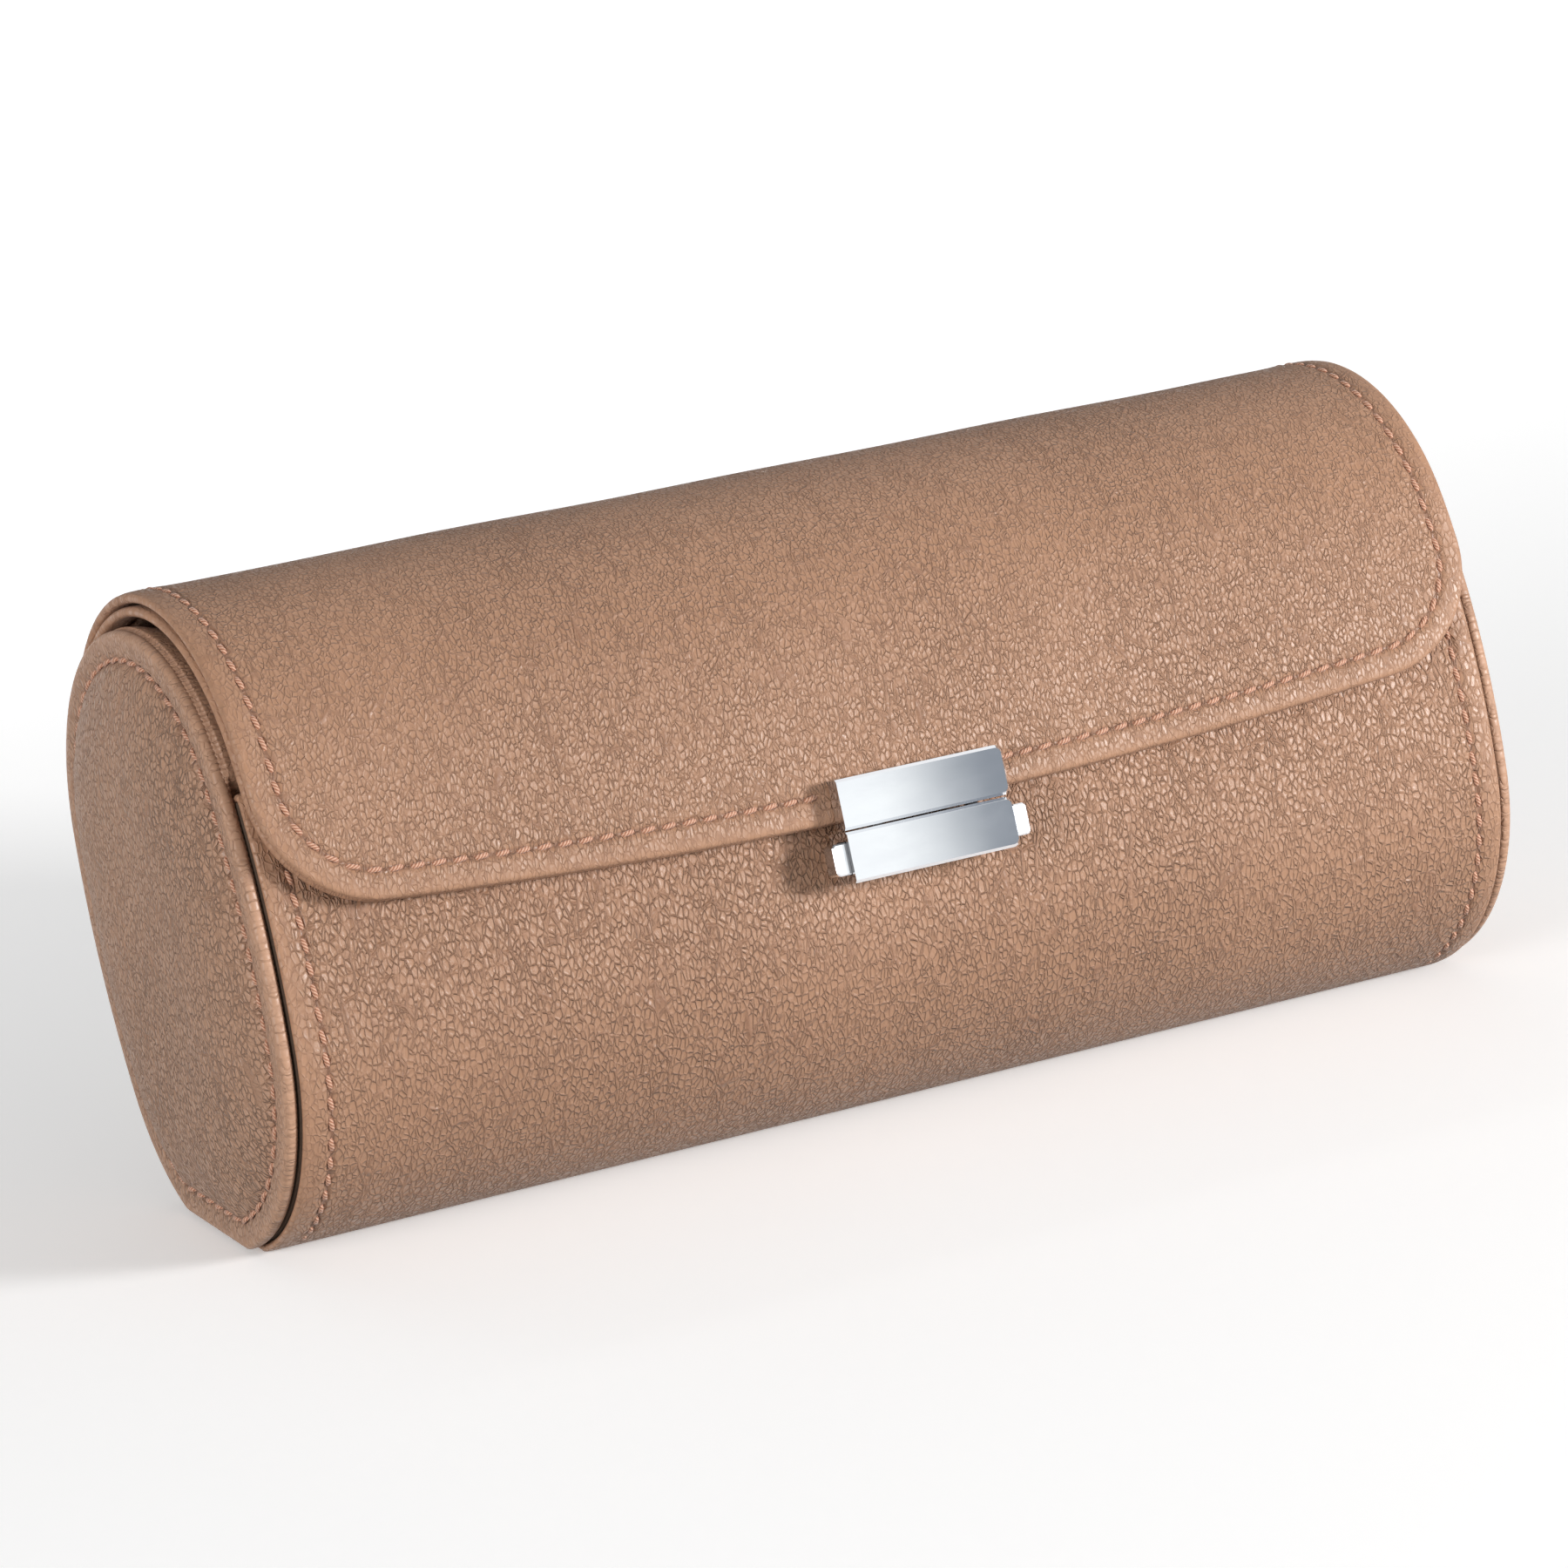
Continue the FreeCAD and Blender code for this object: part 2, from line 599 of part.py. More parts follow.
def lock_cover():
    """The lower bar: a hollow cover, open at the back, slotted for the tongue and buttons."""
    body = new_body("lock_cover", CLASP_FRAME)
    bar = block(body, "lock_cover_block", BAR_X, ("-Sheet.bar_face", "-Sheet.plate_front"), LOCK_Z)
    soften_bar(body, bar)
    inside = "Sheet.bar_length / 2 - Sheet.wall_thick"
    block(body, "lock_cavity", ("-(%s)" % inside, inside),
          ("-Sheet.bar_face + Sheet.wall_thick", "-Sheet.plate_front"),
          (LOCK_Z[0] + " + Sheet.wall_thick", LOCK_Z[1] + " - Sheet.wall_thick"), cut=True)
    slot = "Sheet.tongue_outer + Sheet.slot_clearance"
    block(body, "tongue_slot", ("-(%s)" % slot, slot),
          ("-Sheet.tongue_front - Sheet.slot_clearance",
           "-Sheet.tongue_front + Sheet.tongue_thick + Sheet.swing_clearance"),
          (LOCK_Z[1] + " - Sheet.wall_thick", LOCK_Z[1]), cut=True)
    half = "Sheet.button_height / 2 + Sheet.button_clearance"
    block(body, "button_windows", BAR_X,
          ("-Sheet.button_front - Sheet.window_clearance",
           "-Sheet.button_back + Sheet.button_clearance"),
          ("%s - (%s)" % (MIDDLE_Z, half), "%s + %s" % (MIDDLE_Z, half)), cut=True)
    return body


def lock_plate():
    """The lock's base, with the post that the two springs push against."""
    body = new_body("lock_plate", CLASP_FRAME)
    inside = "Sheet.bar_length / 2 - Sheet.plate_edge"
    block(body, "lock_plate_sheet", ("-(%s)" % inside, inside),
          ("-Sheet.plate_front", "-Sheet.plate_back"),
          (LOCK_Z[0] + " + Sheet.plate_edge", LOCK_Z[1] + " - Sheet.plate_edge"))
    block(body, "spring_post", ("-Sheet.post_width / 2", "Sheet.post_width / 2"),
          ("-Sheet.slider_front", "-Sheet.plate_front"),
          (MIDDLE_Z + " - Sheet.post_height / 2", MIDDLE_Z + " + Sheet.post_height / 2"))
    sketch = new_sketch(body, "XZ_Plane", "lock_rivet_holes_sketch")
    for across in ("-Sheet.rivet_offset", "Sheet.rivet_offset"):
        circle_at(sketch, across, MIDDLE_Z, "Sheet.rivet_radius")
    doc.recompute()
    extrude(body, sketch, "lock_rivet_holes", "Sheet.plate_front + 0.1", cut=True, reverse=True)
    return body


def button(label, side):
    """A push tab outside the bar, a slider behind the tongue and a nose beside its hook."""
    body = new_body(label, CLASP_FRAME)
    slider_end = "Sheet.nose_tip - Sheet.nose_width"
    tab_start = "Sheet.bar_length / 2 - Sheet.wall_thick - Sheet.tab_inside"
    neck_start = tab_start + " - Sheet.neck_length"
    tab = block(body, label + "_tab",
                mirrored_pair((tab_start, "Sheet.bar_length / 2 + Sheet.button_reach"), side),
                ("-Sheet.button_front", "-Sheet.button_back"),
                (MIDDLE_Z + " - Sheet.button_height / 2", MIDDLE_Z + " + Sheet.button_height / 2"))
    tip = dim("bar_length") / 2 + dim("button_reach")
    corners = edges_where(tab, lambda e: all(abs(abs(v.Point.x) - tip) < 0.01 for v in e.Vertexes)
                          and abs(e.tangentAt(e.FirstParameter).y) > 0.99)
    rounded = dress(body, "PartDesign::Fillet", label + "_corners", tab, corners,
                    "Sheet.tab_corner", "Radius")
    rim = edges_where(rounded, lambda e: all(abs(v.Point.y + dim("button_front")) < 0.01
                                             for v in e.Vertexes))
    dress(body, "PartDesign::Chamfer", label + "_bevel", rounded, rim, "Sheet.tab_bevel", "Size")
    block(body, label + "_neck", mirrored_pair((neck_start, tab_start), side),
          ("-Sheet.button_front + Sheet.neck_setback", "-Sheet.slider_back"),
          (MIDDLE_Z + " - Sheet.slider_height / 2", MIDDLE_Z + " + Sheet.slider_height / 2"))
    block(body, label + "_slider", mirrored_pair((slider_end, neck_start), side),
          ("-Sheet.slider_front", "-Sheet.slider_back"),
          (MIDDLE_Z + " - Sheet.slider_height / 2", MIDDLE_Z + " + Sheet.slider_height / 2"))
    nose_low = "-Sheet.tongue_reach + Sheet.hook_height"
    block(body, label + "_nose", mirrored_pair((slider_end, "Sheet.nose_tip"), side),
          ("-Sheet.nose_front", "-Sheet.slider_front"),
          (MIDDLE_Z, nose_low + " + Sheet.nose_height"))
    return body


def spring(label, side):
    """A folded strip spring between the post and one slider."""
    start = dim("post_width") / 2 + dim("spring_gap")
    end = dim("nose_tip") - dim("nose_width") - dim("spring_gap")
    folds = int(dim("spring_folds"))
    step = (end - start) / folds
    depth = -(dim("slider_front") + dim("slider_back") + dim("spring_width")) / 2
    swing = (dim("spring_height") - dim("spring_strip")) / 2
    middle = LOCK_MIDDLE - dim("spring_strip") / 2
    near = [Vector(side * (start + k * step), depth, middle + (-1) ** k * swing)
            for k in range(folds + 1)]
    far = [point + Vector(0, 0, dim("spring_strip")) for point in reversed(near)]
    outline = Part.Face(Part.Wire([edge.toShape() for edge in polygon(near + far)]))
    feature = doc.addObject("Part::Feature", label)
    feature.Label = label
    feature.Shape = outline.extrude(Vector(0, dim("spring_width"), 0))
    feature.Placement = CLASP_FRAME
    return feature


def backplate(label, middle, front):
    """A thin plate buried in the board, with two holes for the rivets."""
    body = new_body(label, CLASP_FRAME)
    block(body, label + "_sheet", ("-Sheet.backplate_length / 2", "Sheet.backplate_length / 2"),
          ("%.3f" % front, "%.3f + Sheet.backplate_thick" % front),
          ("%.3f - Sheet.backplate_height / 2" % middle,
           "%.3f + Sheet.backplate_height / 2" % middle))
    sketch = new_sketch(body, "XZ_Plane", label + "_holes_sketch", "%.3f" % -front)
    for across in ("-Sheet.rivet_offset", "Sheet.rivet_offset"):
        circle_at(sketch, across, "%.3f" % middle, "Sheet.rivet_radius")
    doc.recompute()
    before = body.Shape.Volume
    extrude(body, sketch, label + "_holes", "Sheet.backplate_thick", cut=True)
    if not body.Shape.Volume < before:
        raise ValueError("%s has no holes" % label)
    return body


def rivets(label, middle, front, back):
    """Two rivets, one solid each, between two depths."""
    pins = []
    for side in (-1, 1):
        pin = doc.addObject("Part::Cylinder", "%s_%s" % (label, "left" if side < 0 else "right"))
        pin.setExpression("Radius", "Sheet.rivet_radius")
        pin.Height = back - front
        pin.Placement = Placement(Vector(side * dim("rivet_offset"), front, middle),
                                  Rotation(Vector(1, 0, 0), -90))
        pins.append(pin)
    group = doc.addObject("Part::Compound", label)
    group.Label = label
    group.Links = pins
    group.Placement = CLASP_FRAME
    return group


def make_clasp():
    thick = dim("backplate_thick")
    return [
        striker_bar(),
        striker_tongue(),
        backplate("striker_backplate", STRIKER_MIDDLE, STRIKER_PLATE_DEPTH),
        rivets("striker_rivets", STRIKER_MIDDLE, -dim("striker_back") - dim("rivet_socket"),
               STRIKER_PLATE_DEPTH + thick),
        lock_cover(),
        lock_plate(),
        backplate("lock_backplate", LOCK_MIDDLE, LOCK_PLATE_DEPTH),
        rivets("lock_rivets", LOCK_MIDDLE, -dim("plate_front"), LOCK_PLATE_DEPTH + thick),
        button("button_left", -1),
        button("button_right", 1),
        spring("spring_left", -1),
        spring("spring_right", 1),
    ]


# ---------------------------------------------------------------- brush holder


def brush_panel():
    """A covered board glued to the lining of the back wall."""
    half = math.radians(dim("panel_half_angle"))
    outside = dim("leather_thick") + dim("board_thick") + dim("lining_thick")
    body = new_body("brush_panel", CASE_FRAME)
    sketch = new_sketch(body, "YZ_Plane", "brush_panel_section")
    fixed_outline(sketch, strip([arc(BACK, -outside, -half, half)],
                                [arc(BACK, -outside - dim("panel_thick"), -half, half)]))
    extrude(body, sketch, "brush_panel_pad", "Sheet.panel_length", middle=True)
    return body


def loop_outline():
    """One arch of elastic that stands inwards from the panel, with its two sewn feet."""
    wall = (SIDE_RADIUS - dim("leather_thick") - dim("board_thick") - dim("lining_thick")
            - dim("panel_thick"))
    inner = dim("loop_width") / 2
    outer = inner + dim("band_thick")
    foot = outer + dim("loop_foot")
    base = math.sqrt(wall ** 2 - foot ** 2)
    leg = base - dim("loop_leg")
    top = base - dim("band_thick")

    def arch(radius, reverse):
        middle = Vector(leg - radius, 0, 0)
        ends = (Vector(leg, -radius, 0), Vector(leg, radius, 0))
        return Part.Arc(ends[1], middle, ends[0]) if reverse else Part.Arc(ends[0], middle, ends[1])

    points_low = [Vector(leg, -inner, 0), Vector(base, -inner, 0), Vector(base, -foot, 0),
                  Vector(top, -foot, 0), Vector(top, -outer, 0), Vector(leg, -outer, 0)]
    points_high = [Vector(p.x, -p.y, 0) for p in reversed(points_low)]
    lines = [Part.LineSegment(a, b) for group in (points_low, points_high)
             for a, b in zip(group, group[1:])]
    return lines + [arch(outer, False), arch(inner, True)]


def loop_band(label, side):
    """A band of elastic sewn down between its loops."""
    first = -dim("loop_step") * (dim("loop_count") - 1) / 2
    turn = Placement(Vector(0, 0, 0), Rotation(Vector(1, 0, 0), first))
    body = new_body(label, LOOP_FRAME.multiply(turn))
    low, high = mirrored_pair(("Sheet.band_spread - Sheet.band_width / 2",
                               "Sheet.band_spread + Sheet.band_width / 2"), side)
    sketch = new_sketch(body, "YZ_Plane", label + "_loop", low)
    fixed_outline(sketch, loop_outline())
    pad = extrude(body, sketch, label + "_pad", "(%s) - (%s)" % (high, low))
    pattern = body.newObject("PartDesign::PolarPattern", label + "_loops")
    pattern.Originals = [pad]
    axis = [f for f in body.Origin.OriginFeatures if f.Role == "X_Axis"][0]
    pattern.Axis = (axis, [""])
    pattern.setExpression("Occurrences", "Sheet.loop_count")
    pattern.setExpression("Angle", "Sheet.loop_step * (Sheet.loop_count - 1)")
    body.Tip = pattern
    doc.recompute()
    return body


# ---------------------------------------------------------------- build and write

pieces = make_wrap() + make_flap() + make_end(-1) + make_end(1) + make_clasp()
pieces += [brush_panel(), loop_band("loop_band_left", -1), loop_band("loop_band_right", 1)]
doc.recompute()

for item in doc.Objects:
    if "Invalid" in item.State or "Error" in item.State:
        raise RuntimeError("%s: %s" % (item.Name, item.State))
for piece in pieces:
    if piece.Shape.isNull() or not piece.Shape.isValid():
        raise RuntimeError("%s has no valid shape" % piece.Label)

os.makedirs("parts", exist_ok=True)
for piece in pieces:
    piece.Shape.exportStep("parts/%s.step" % piece.Label)
    box = piece.Shape.BoundBox
    print("%-20s solids %d  volume %9.1f  x %.1f %.1f  y %.1f %.1f  z %.1f %.1f" % (
        piece.Label, len(piece.Shape.Solids), piece.Shape.Volume,
        box.XMin, box.XMax, box.YMin, box.YMax, box.ZMin, box.ZMax))
hinge = CASE_FRAME.multVec(HINGE_POINT)
print("hinge axis at y %.3f z %.3f" % (hinge.y, hinge.z))
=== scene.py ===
import math
import random

import bpy
import numpy as np
from mathutils import Matrix, Vector
from mathutils.geometry import delaunay_2d_cdt


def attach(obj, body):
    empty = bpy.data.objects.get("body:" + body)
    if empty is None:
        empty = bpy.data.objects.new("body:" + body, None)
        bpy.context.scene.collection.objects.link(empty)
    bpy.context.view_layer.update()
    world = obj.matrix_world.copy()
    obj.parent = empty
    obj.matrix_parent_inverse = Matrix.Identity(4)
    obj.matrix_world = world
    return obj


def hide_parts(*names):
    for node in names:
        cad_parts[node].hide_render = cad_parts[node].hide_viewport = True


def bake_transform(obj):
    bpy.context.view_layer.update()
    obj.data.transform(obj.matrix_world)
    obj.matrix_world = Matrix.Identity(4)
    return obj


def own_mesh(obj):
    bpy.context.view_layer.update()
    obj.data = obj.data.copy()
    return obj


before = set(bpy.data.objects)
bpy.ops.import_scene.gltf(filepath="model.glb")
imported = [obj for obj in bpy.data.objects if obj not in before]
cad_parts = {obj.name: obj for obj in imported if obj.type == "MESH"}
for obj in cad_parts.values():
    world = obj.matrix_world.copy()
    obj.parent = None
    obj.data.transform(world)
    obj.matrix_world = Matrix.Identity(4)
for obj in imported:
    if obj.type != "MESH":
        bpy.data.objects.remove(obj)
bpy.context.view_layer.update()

# Everything is drawn in millimetres in the upright "case frame" (x along the roll, y to the
# back, z up, origin in the middle of the oval) and leaned back into the row frame, in metres.

MM = 0.001
LENGTH = 240.0
HALF = LENGTH / 2
OVAL_HEIGHT = 110.5
OVAL_DEPTH = 80.0
SIDE_RADIUS = 130.0
LEAN = math.radians(20.0)
REST_WIDTH = 26.0
WALL = 4.0
FRONT_EDGE = 19.0
HINGE = 33.0
FLAP_INSIDE = (0.6, -2.4)       # offset of the flap's inner face in front and at the hinge
FLAP_OUTSIDE = (4.6, 0.0)
FLAP_LOW = -6.6
FLAP_EDGE_RADIUS = 1200.0
FLAP_CORNER = 22.0
STITCH = 3.9
STITCH_INSET = 5.0
CLASP_DROP = 8.1
BAR_HALF = 16.5
BAR_HEIGHT = 8.9
OUTER_PLY = 1.75                # thickness of the back and flap sheets, and of the front one
FRONT_PLY = 1.3
SPAN = 0.98                     # spacing of points round a sheet's outline
SEAM_AWAY = 30.0                # moves the painted seam off the sheet where none is sewn
CAP_START = HALF + 0.45
FLANGE = 2.45
DOME_HEIGHT = 6.2

SIDE_SHIFT = SIDE_RADIUS - OVAL_DEPTH / 2
END_RADIUS = ((SIDE_RADIUS ** 2 - SIDE_SHIFT ** 2 - (OVAL_HEIGHT / 2) ** 2)
              / (2 * (SIDE_RADIUS - OVAL_HEIGHT / 2)))
END_SHIFT = OVAL_HEIGHT / 2 - END_RADIUS
JOIN = math.atan2(END_SHIFT, SIDE_SHIFT)
REST_SAG = END_RADIUS - math.sqrt(END_RADIUS ** 2 - (REST_WIDTH / 2) ** 2)
REST_ANGLE = 1.5 * math.pi + LEAN
HINGE_ANGLE = math.asin((HINGE - END_SHIFT) / END_RADIUS)
REST_POINT = np.array([(END_RADIUS - REST_SAG) * math.sin(LEAN),
                       -END_SHIFT - (END_RADIUS - REST_SAG) * math.cos(LEAN)])


def to_row(points):
    """Case frame in millimetres to row frame in metres, for an array of x, y, z."""
    p = np.asarray(points, float).reshape(-1, 3)
    y, z = p[:, 1] - REST_POINT[0], p[:, 2] - REST_POINT[1]
    c, s = math.cos(LEAN), math.sin(LEAN)
    return np.stack([p[:, 0], y * c + z * s, -y * s + z * c], 1) * MM


# ---------------------------------------------------------------- section curves

ARCS = {"top": (0, END_SHIFT, END_RADIUS), "bottom": (0, -END_SHIFT, END_RADIUS),
        "front": (SIDE_SHIFT, 0, SIDE_RADIUS), "back": (-SIDE_SHIFT, 0, SIDE_RADIUS)}
REST_DOWN = np.array([math.cos(REST_ANGLE), math.sin(REST_ANGLE)])
ARC_STEP = 0.5                  # spacing of points along a section curve
PATH_STEP = 0.4


def arc(side, offset, start, end, shift=0.0):
    """Points on one arc of the oval, offset outwards; a shifted oval moves forward and up."""
    y, z, radius = ARCS[side]
    radius += offset
    count = max(3, int(abs(end - start) * radius / ARC_STEP))
    t = np.linspace(start, end, count)
    return np.stack([y - shift + radius * np.cos(t), z + shift + radius * np.sin(t)], 1)


def flattened(points, offset):
    """Points of the bottom arc, pressed flat where the roll rests."""
    deep = (points - np.array([0.0, -END_SHIFT])) @ REST_DOWN
    limit = END_RADIUS + offset - REST_SAG
    return points - np.clip(deep - limit, 0, None)[:, None] * REST_DOWN


def bottom(offset, start, end):
    """The bottom arc between two angles, with its flat."""
    return flattened(arc("bottom", offset, start, end), offset)


def flap_offsets(share):
    """Offset and shift of the flap's surface: share 0 is its inside and share 1 its outside."""
    front = FLAP_INSIDE[0] * (1 - share) + FLAP_OUTSIDE[0] * share
    hinge = FLAP_INSIDE[1] * (1 - share) + FLAP_OUTSIDE[1] * share
    shift = (front - hinge) / (1 + math.cos(HINGE_ANGLE) - math.sin(HINGE_ANGLE))
    return front - shift, shift


def flap_curve(share, start, low):
    """Over the top from just past the hinge and down the front to the height low."""
    offset, shift = flap_offsets(share)
    end = math.pi + math.asin((shift - low) / (SIDE_RADIUS + offset))
    return np.vstack([arc("top", offset, start, math.pi - JOIN, shift)[1:],
                      arc("front", offset, math.pi - JOIN, end, shift)[1:]])


class Path:
    """A section curve by its length: s gives a point and the outward normal."""

    def __init__(self, points, smooth=0):
        p = np.asarray(points, float)
        keep = np.r_[True, np.linalg.norm(np.diff(p, axis=0), axis=1) > 1e-6]
        p = p[keep]
        s = np.r_[0, np.cumsum(np.linalg.norm(np.diff(p, axis=0), axis=1))]
        even = np.linspace(0, s[-1], int(s[-1] / PATH_STEP) + 2)
        p = np.stack([np.interp(even, s, p[:, k]) for k in (0, 1)], 1)
        for _ in range(smooth):
            p[1:-1] = 0.25 * p[:-2] + 0.5 * p[1:-1] + 0.25 * p[2:]
        self.p = p
        self.s = np.r_[0, np.cumsum(np.linalg.norm(np.diff(p, axis=0), axis=1))]
        t = np.gradient(p, self.s, axis=0)
        t /= np.linalg.norm(t, axis=1)[:, None]
        self.n = np.stack([t[:, 1], -t[:, 0]], 1)
        self.length = self.s[-1]

    def at(self, s):
        point = np.stack([np.interp(s, self.s, self.p[:, k]) for k in (0, 1)], 1)
        normal = np.stack([np.interp(s, self.s, self.n[:, k]) for k in (0, 1)], 1)
        return point, normal / np.linalg.norm(normal, axis=1)[:, None]

    def where(self, test):
        """Length at the first point that passes a test on (y, z)."""
        return self.s[np.argmax([bool(test(y, z)) for y, z in self.p])]

    def place(self, x, s, h):
        point, normal = self.at(s)
        point = point + normal * np.asarray(h, float)[:, None]
        return to_row(np.stack([x, point[:, 0], point[:, 1]], 1))


EDGE_TUCK = 3.0      # how far the turned-in leather reaches down inside the wall
EDGE_ROUND = 0.75    # height of the turn over half its width
EDGE_GAP = 0.05      # kept between the turned-in leather and the wall


def turned_edge():
    """The leather over the front panel's top edge, from inside the wall to its outer face."""
    inner = -WALL - EDGE_GAP
    angle = math.pi - math.asin(FRONT_EDGE / SIDE_RADIUS)
    radial = np.array([math.cos(angle), math.sin(angle)])
    along = np.array([radial[1], -radial[0]])
    centre = np.array([SIDE_SHIFT, 0.0])
    middle = centre + radial * (SIDE_RADIUS + inner / 2)
    half = -inner / 2
    low = centre + radial * (SIDE_RADIUS + inner) - along * EDGE_TUCK
    turn = [middle + half * (-math.cos(a) * radial + math.sin(a) * along * EDGE_ROUND)
            for a in np.linspace(0, math.pi, 18)]
    return np.vstack([[low], turn])


BOTTOM_SEAM = 1.5 * math.pi     # angle of the join under the roll
front_path = Path(np.vstack([
    turned_edge(),
    arc("front", 0, math.pi - math.asin(FRONT_EDGE / SIDE_RADIUS), math.pi + JOIN)[1:],
    bottom(0, math.pi + JOIN, BOTTOM_SEAM)[1:]]), smooth=2)
flap_start = HINGE_ANGLE - 0.045
back_path = Path(np.vstack([
    bottom(0, BOTTOM_SEAM, 2 * math.pi - JOIN),
    arc("back", 0, -JOIN, JOIN)[1:],
    arc("top", 0, JOIN, HINGE_ANGLE - 0.06)[1:],
    flap_curve(1.0, flap_start, FLAP_LOW - 1.0)]), smooth=40)
lining_path = Path(np.vstack([
    arc("top", -WALL - 0.12, HINGE_ANGLE - 0.40, HINGE_ANGLE - 0.10),
    flap_curve(0.0, flap_start + 0.02, FLAP_LOW - 1.0)]), smooth=20)

# ---------------------------------------------------------------- outlines


class Outline:
    """A closed outline in (x, s) made of straight and round stretches, which can be inset."""

    def __init__(self, stretches):
        self.parts = []
        for kind, data in stretches:
            if kind == "line":
                a, b = data
                count = max(2, int(math.dist(a, b) / SPAN))
            else:
                centre, radius, start, end = data
                count = max(6, int(abs(end - start) * radius / SPAN))
            self.parts.append((kind, data, count))

    def ring(self, inset):
        """The outline moved inwards by inset, always with the same number of points."""
        ends = []
        for kind, data, _ in self.parts:
            if kind == "arc":
                centre, radius, start, end = data
                r = radius - inset
                ends.append([(centre[0] + r * math.cos(t), centre[1] + r * math.sin(t))
                             for t in (start, end)])
            else:
                a, b = np.array(data[0], float), np.array(data[1], float)
                direction = (b - a) / np.linalg.norm(b - a)
                inward = np.array([-direction[1], direction[0]]) * inset
                ends.append([tuple(a + inward), tuple(b + inward), tuple(direction)])
        points = []
        for k, (kind, data, count) in enumerate(self.parts):
            t = np.linspace(0, 1, count, endpoint=False)
            if kind == "arc":
                centre, radius, start, end = data
                angle = start + (end - start) * t
                r = radius - inset
                points.append(np.stack([centre[0] + r * np.cos(angle),
                                        centre[1] + r * np.sin(angle)], 1))
                continue
            a, b = np.array(ends[k][0]), np.array(ends[k][1])
            before, after = self.parts[k - 1], self.parts[(k + 1) % len(self.parts)]
            if before[0] == "line":
                a = a + np.array(ends[k][2]) * inset
            if after[0] == "line":
                b = b - np.array(ends[k][2]) * inset
            points.append(a + (b - a) * t[:, None])
        return np.vstack(points)


def flap_outline(path, low):
    """Bottom or hinge edge, two long ends, round corners and the bowed front edge.
    x runs along the roll and s along the section, so the outline is counter-clockwise."""
    front = path.where(lambda y, z: y < -20 and z < low)
    front = front if front > 0 else path.length
    edge_centre = front - FLAP_EDGE_RADIUS
    corner_x = HALF - FLAP_CORNER
    corner_s = edge_centre + math.sqrt((FLAP_EDGE_RADIUS - FLAP_CORNER) ** 2 - corner_x ** 2)
    lean = math.atan2(corner_x, corner_s - edge_centre)
    return Outline([
        ("line", ((-HALF, 0.0), (HALF, 0.0))),
        ("line", ((HALF, 0.0), (HALF, corner_s))),
        ("arc", ((corner_x, corner_s), FLAP_CORNER, 0.0, math.pi / 2 - lean)),
        ("arc", ((0.0, edge_centre), FLAP_EDGE_RADIUS, math.pi / 2 - lean, math.pi / 2 + lean)),
        ("arc", ((-corner_x, corner_s), FLAP_CORNER, math.pi / 2 + lean, math.pi)),
        ("line", ((-HALF, corner_s), (-HALF, 0.0))),
    ])


def plain_outline(length):
    return Outline([
        ("line", ((-HALF, 0.0), (HALF, 0.0))),
        ("line", ((HALF, 0.0), (HALF, length))),
        ("line", ((HALF, length), (-HALF, length))),
        ("line", ((-HALF, length), (-HALF, 0.0))),
    ])


# ---------------------------------------------------------------- leather sheets

SEAM_ROWS = (3.4, 3.9, 4.3, 4.65, 5.0, 5.35, 5.7, 6.1, 6.8, 7.8, 9.4)
RIM_WIDTH = 12.0        # how far in the rings reach from the rim
RIM_SWELL = 0.10        # the sheet stands a little higher near its rim
FIELD_STEP = 4.0        # spacing of the points inside the rings
FIELD_INSET = 40.0      # painted as far from any rim
GROOVE_DEPTH = 0.40
HOLE_DEPTH = 0.16


def rim_profile(thick, core):
    """(inset, height) from the underside, round the rim and over the top to the field."""
    half = thick / 2
    rows = [(RIM_WIDTH, -core), (6.5, -core), (4.0, -thick * 0.98), (2.0, -thick)]
    for k in range(9):
        a = math.pi * k / 8
        rows.append((half * (1 - math.sin(a)) * 1.1, -half - half * math.cos(a)))
    rows += [(1.5, RIM_SWELL), (2.5, 0.16)]
    rows += [(d, RIM_SWELL * (RIM_WIDTH - d) / 9) for d in SEAM_ROWS]
    rows.append((RIM_WIDTH, 0.0))
    return rows


def furrow(inset, along):
    """The groove that the stitches pull, deepest at each needle hole, and its two shoulders."""
    groove = -GROOVE_DEPTH * np.exp(-((inset - STITCH_INSET) / 0.60) ** 2)
    shoulder = (0.09 * np.exp(-((inset - 3.6) / 0.9) ** 2)
                + 0.08 * np.exp(-((inset - 6.7) / 1.0) ** 2))
    near = np.exp(-((inset - STITCH_INSET) / 1.1) ** 2)
    return groove + shoulder - HOLE_DEPTH * near * np.cos(2 * math.pi * along / STITCH)


def ramp(value, low, high):
    """Smooth step from 0 at low to 1 at high."""
    t = np.clip((value - low) / (high - low), 0, 1)
    return t * t * (3 - 2 * t)


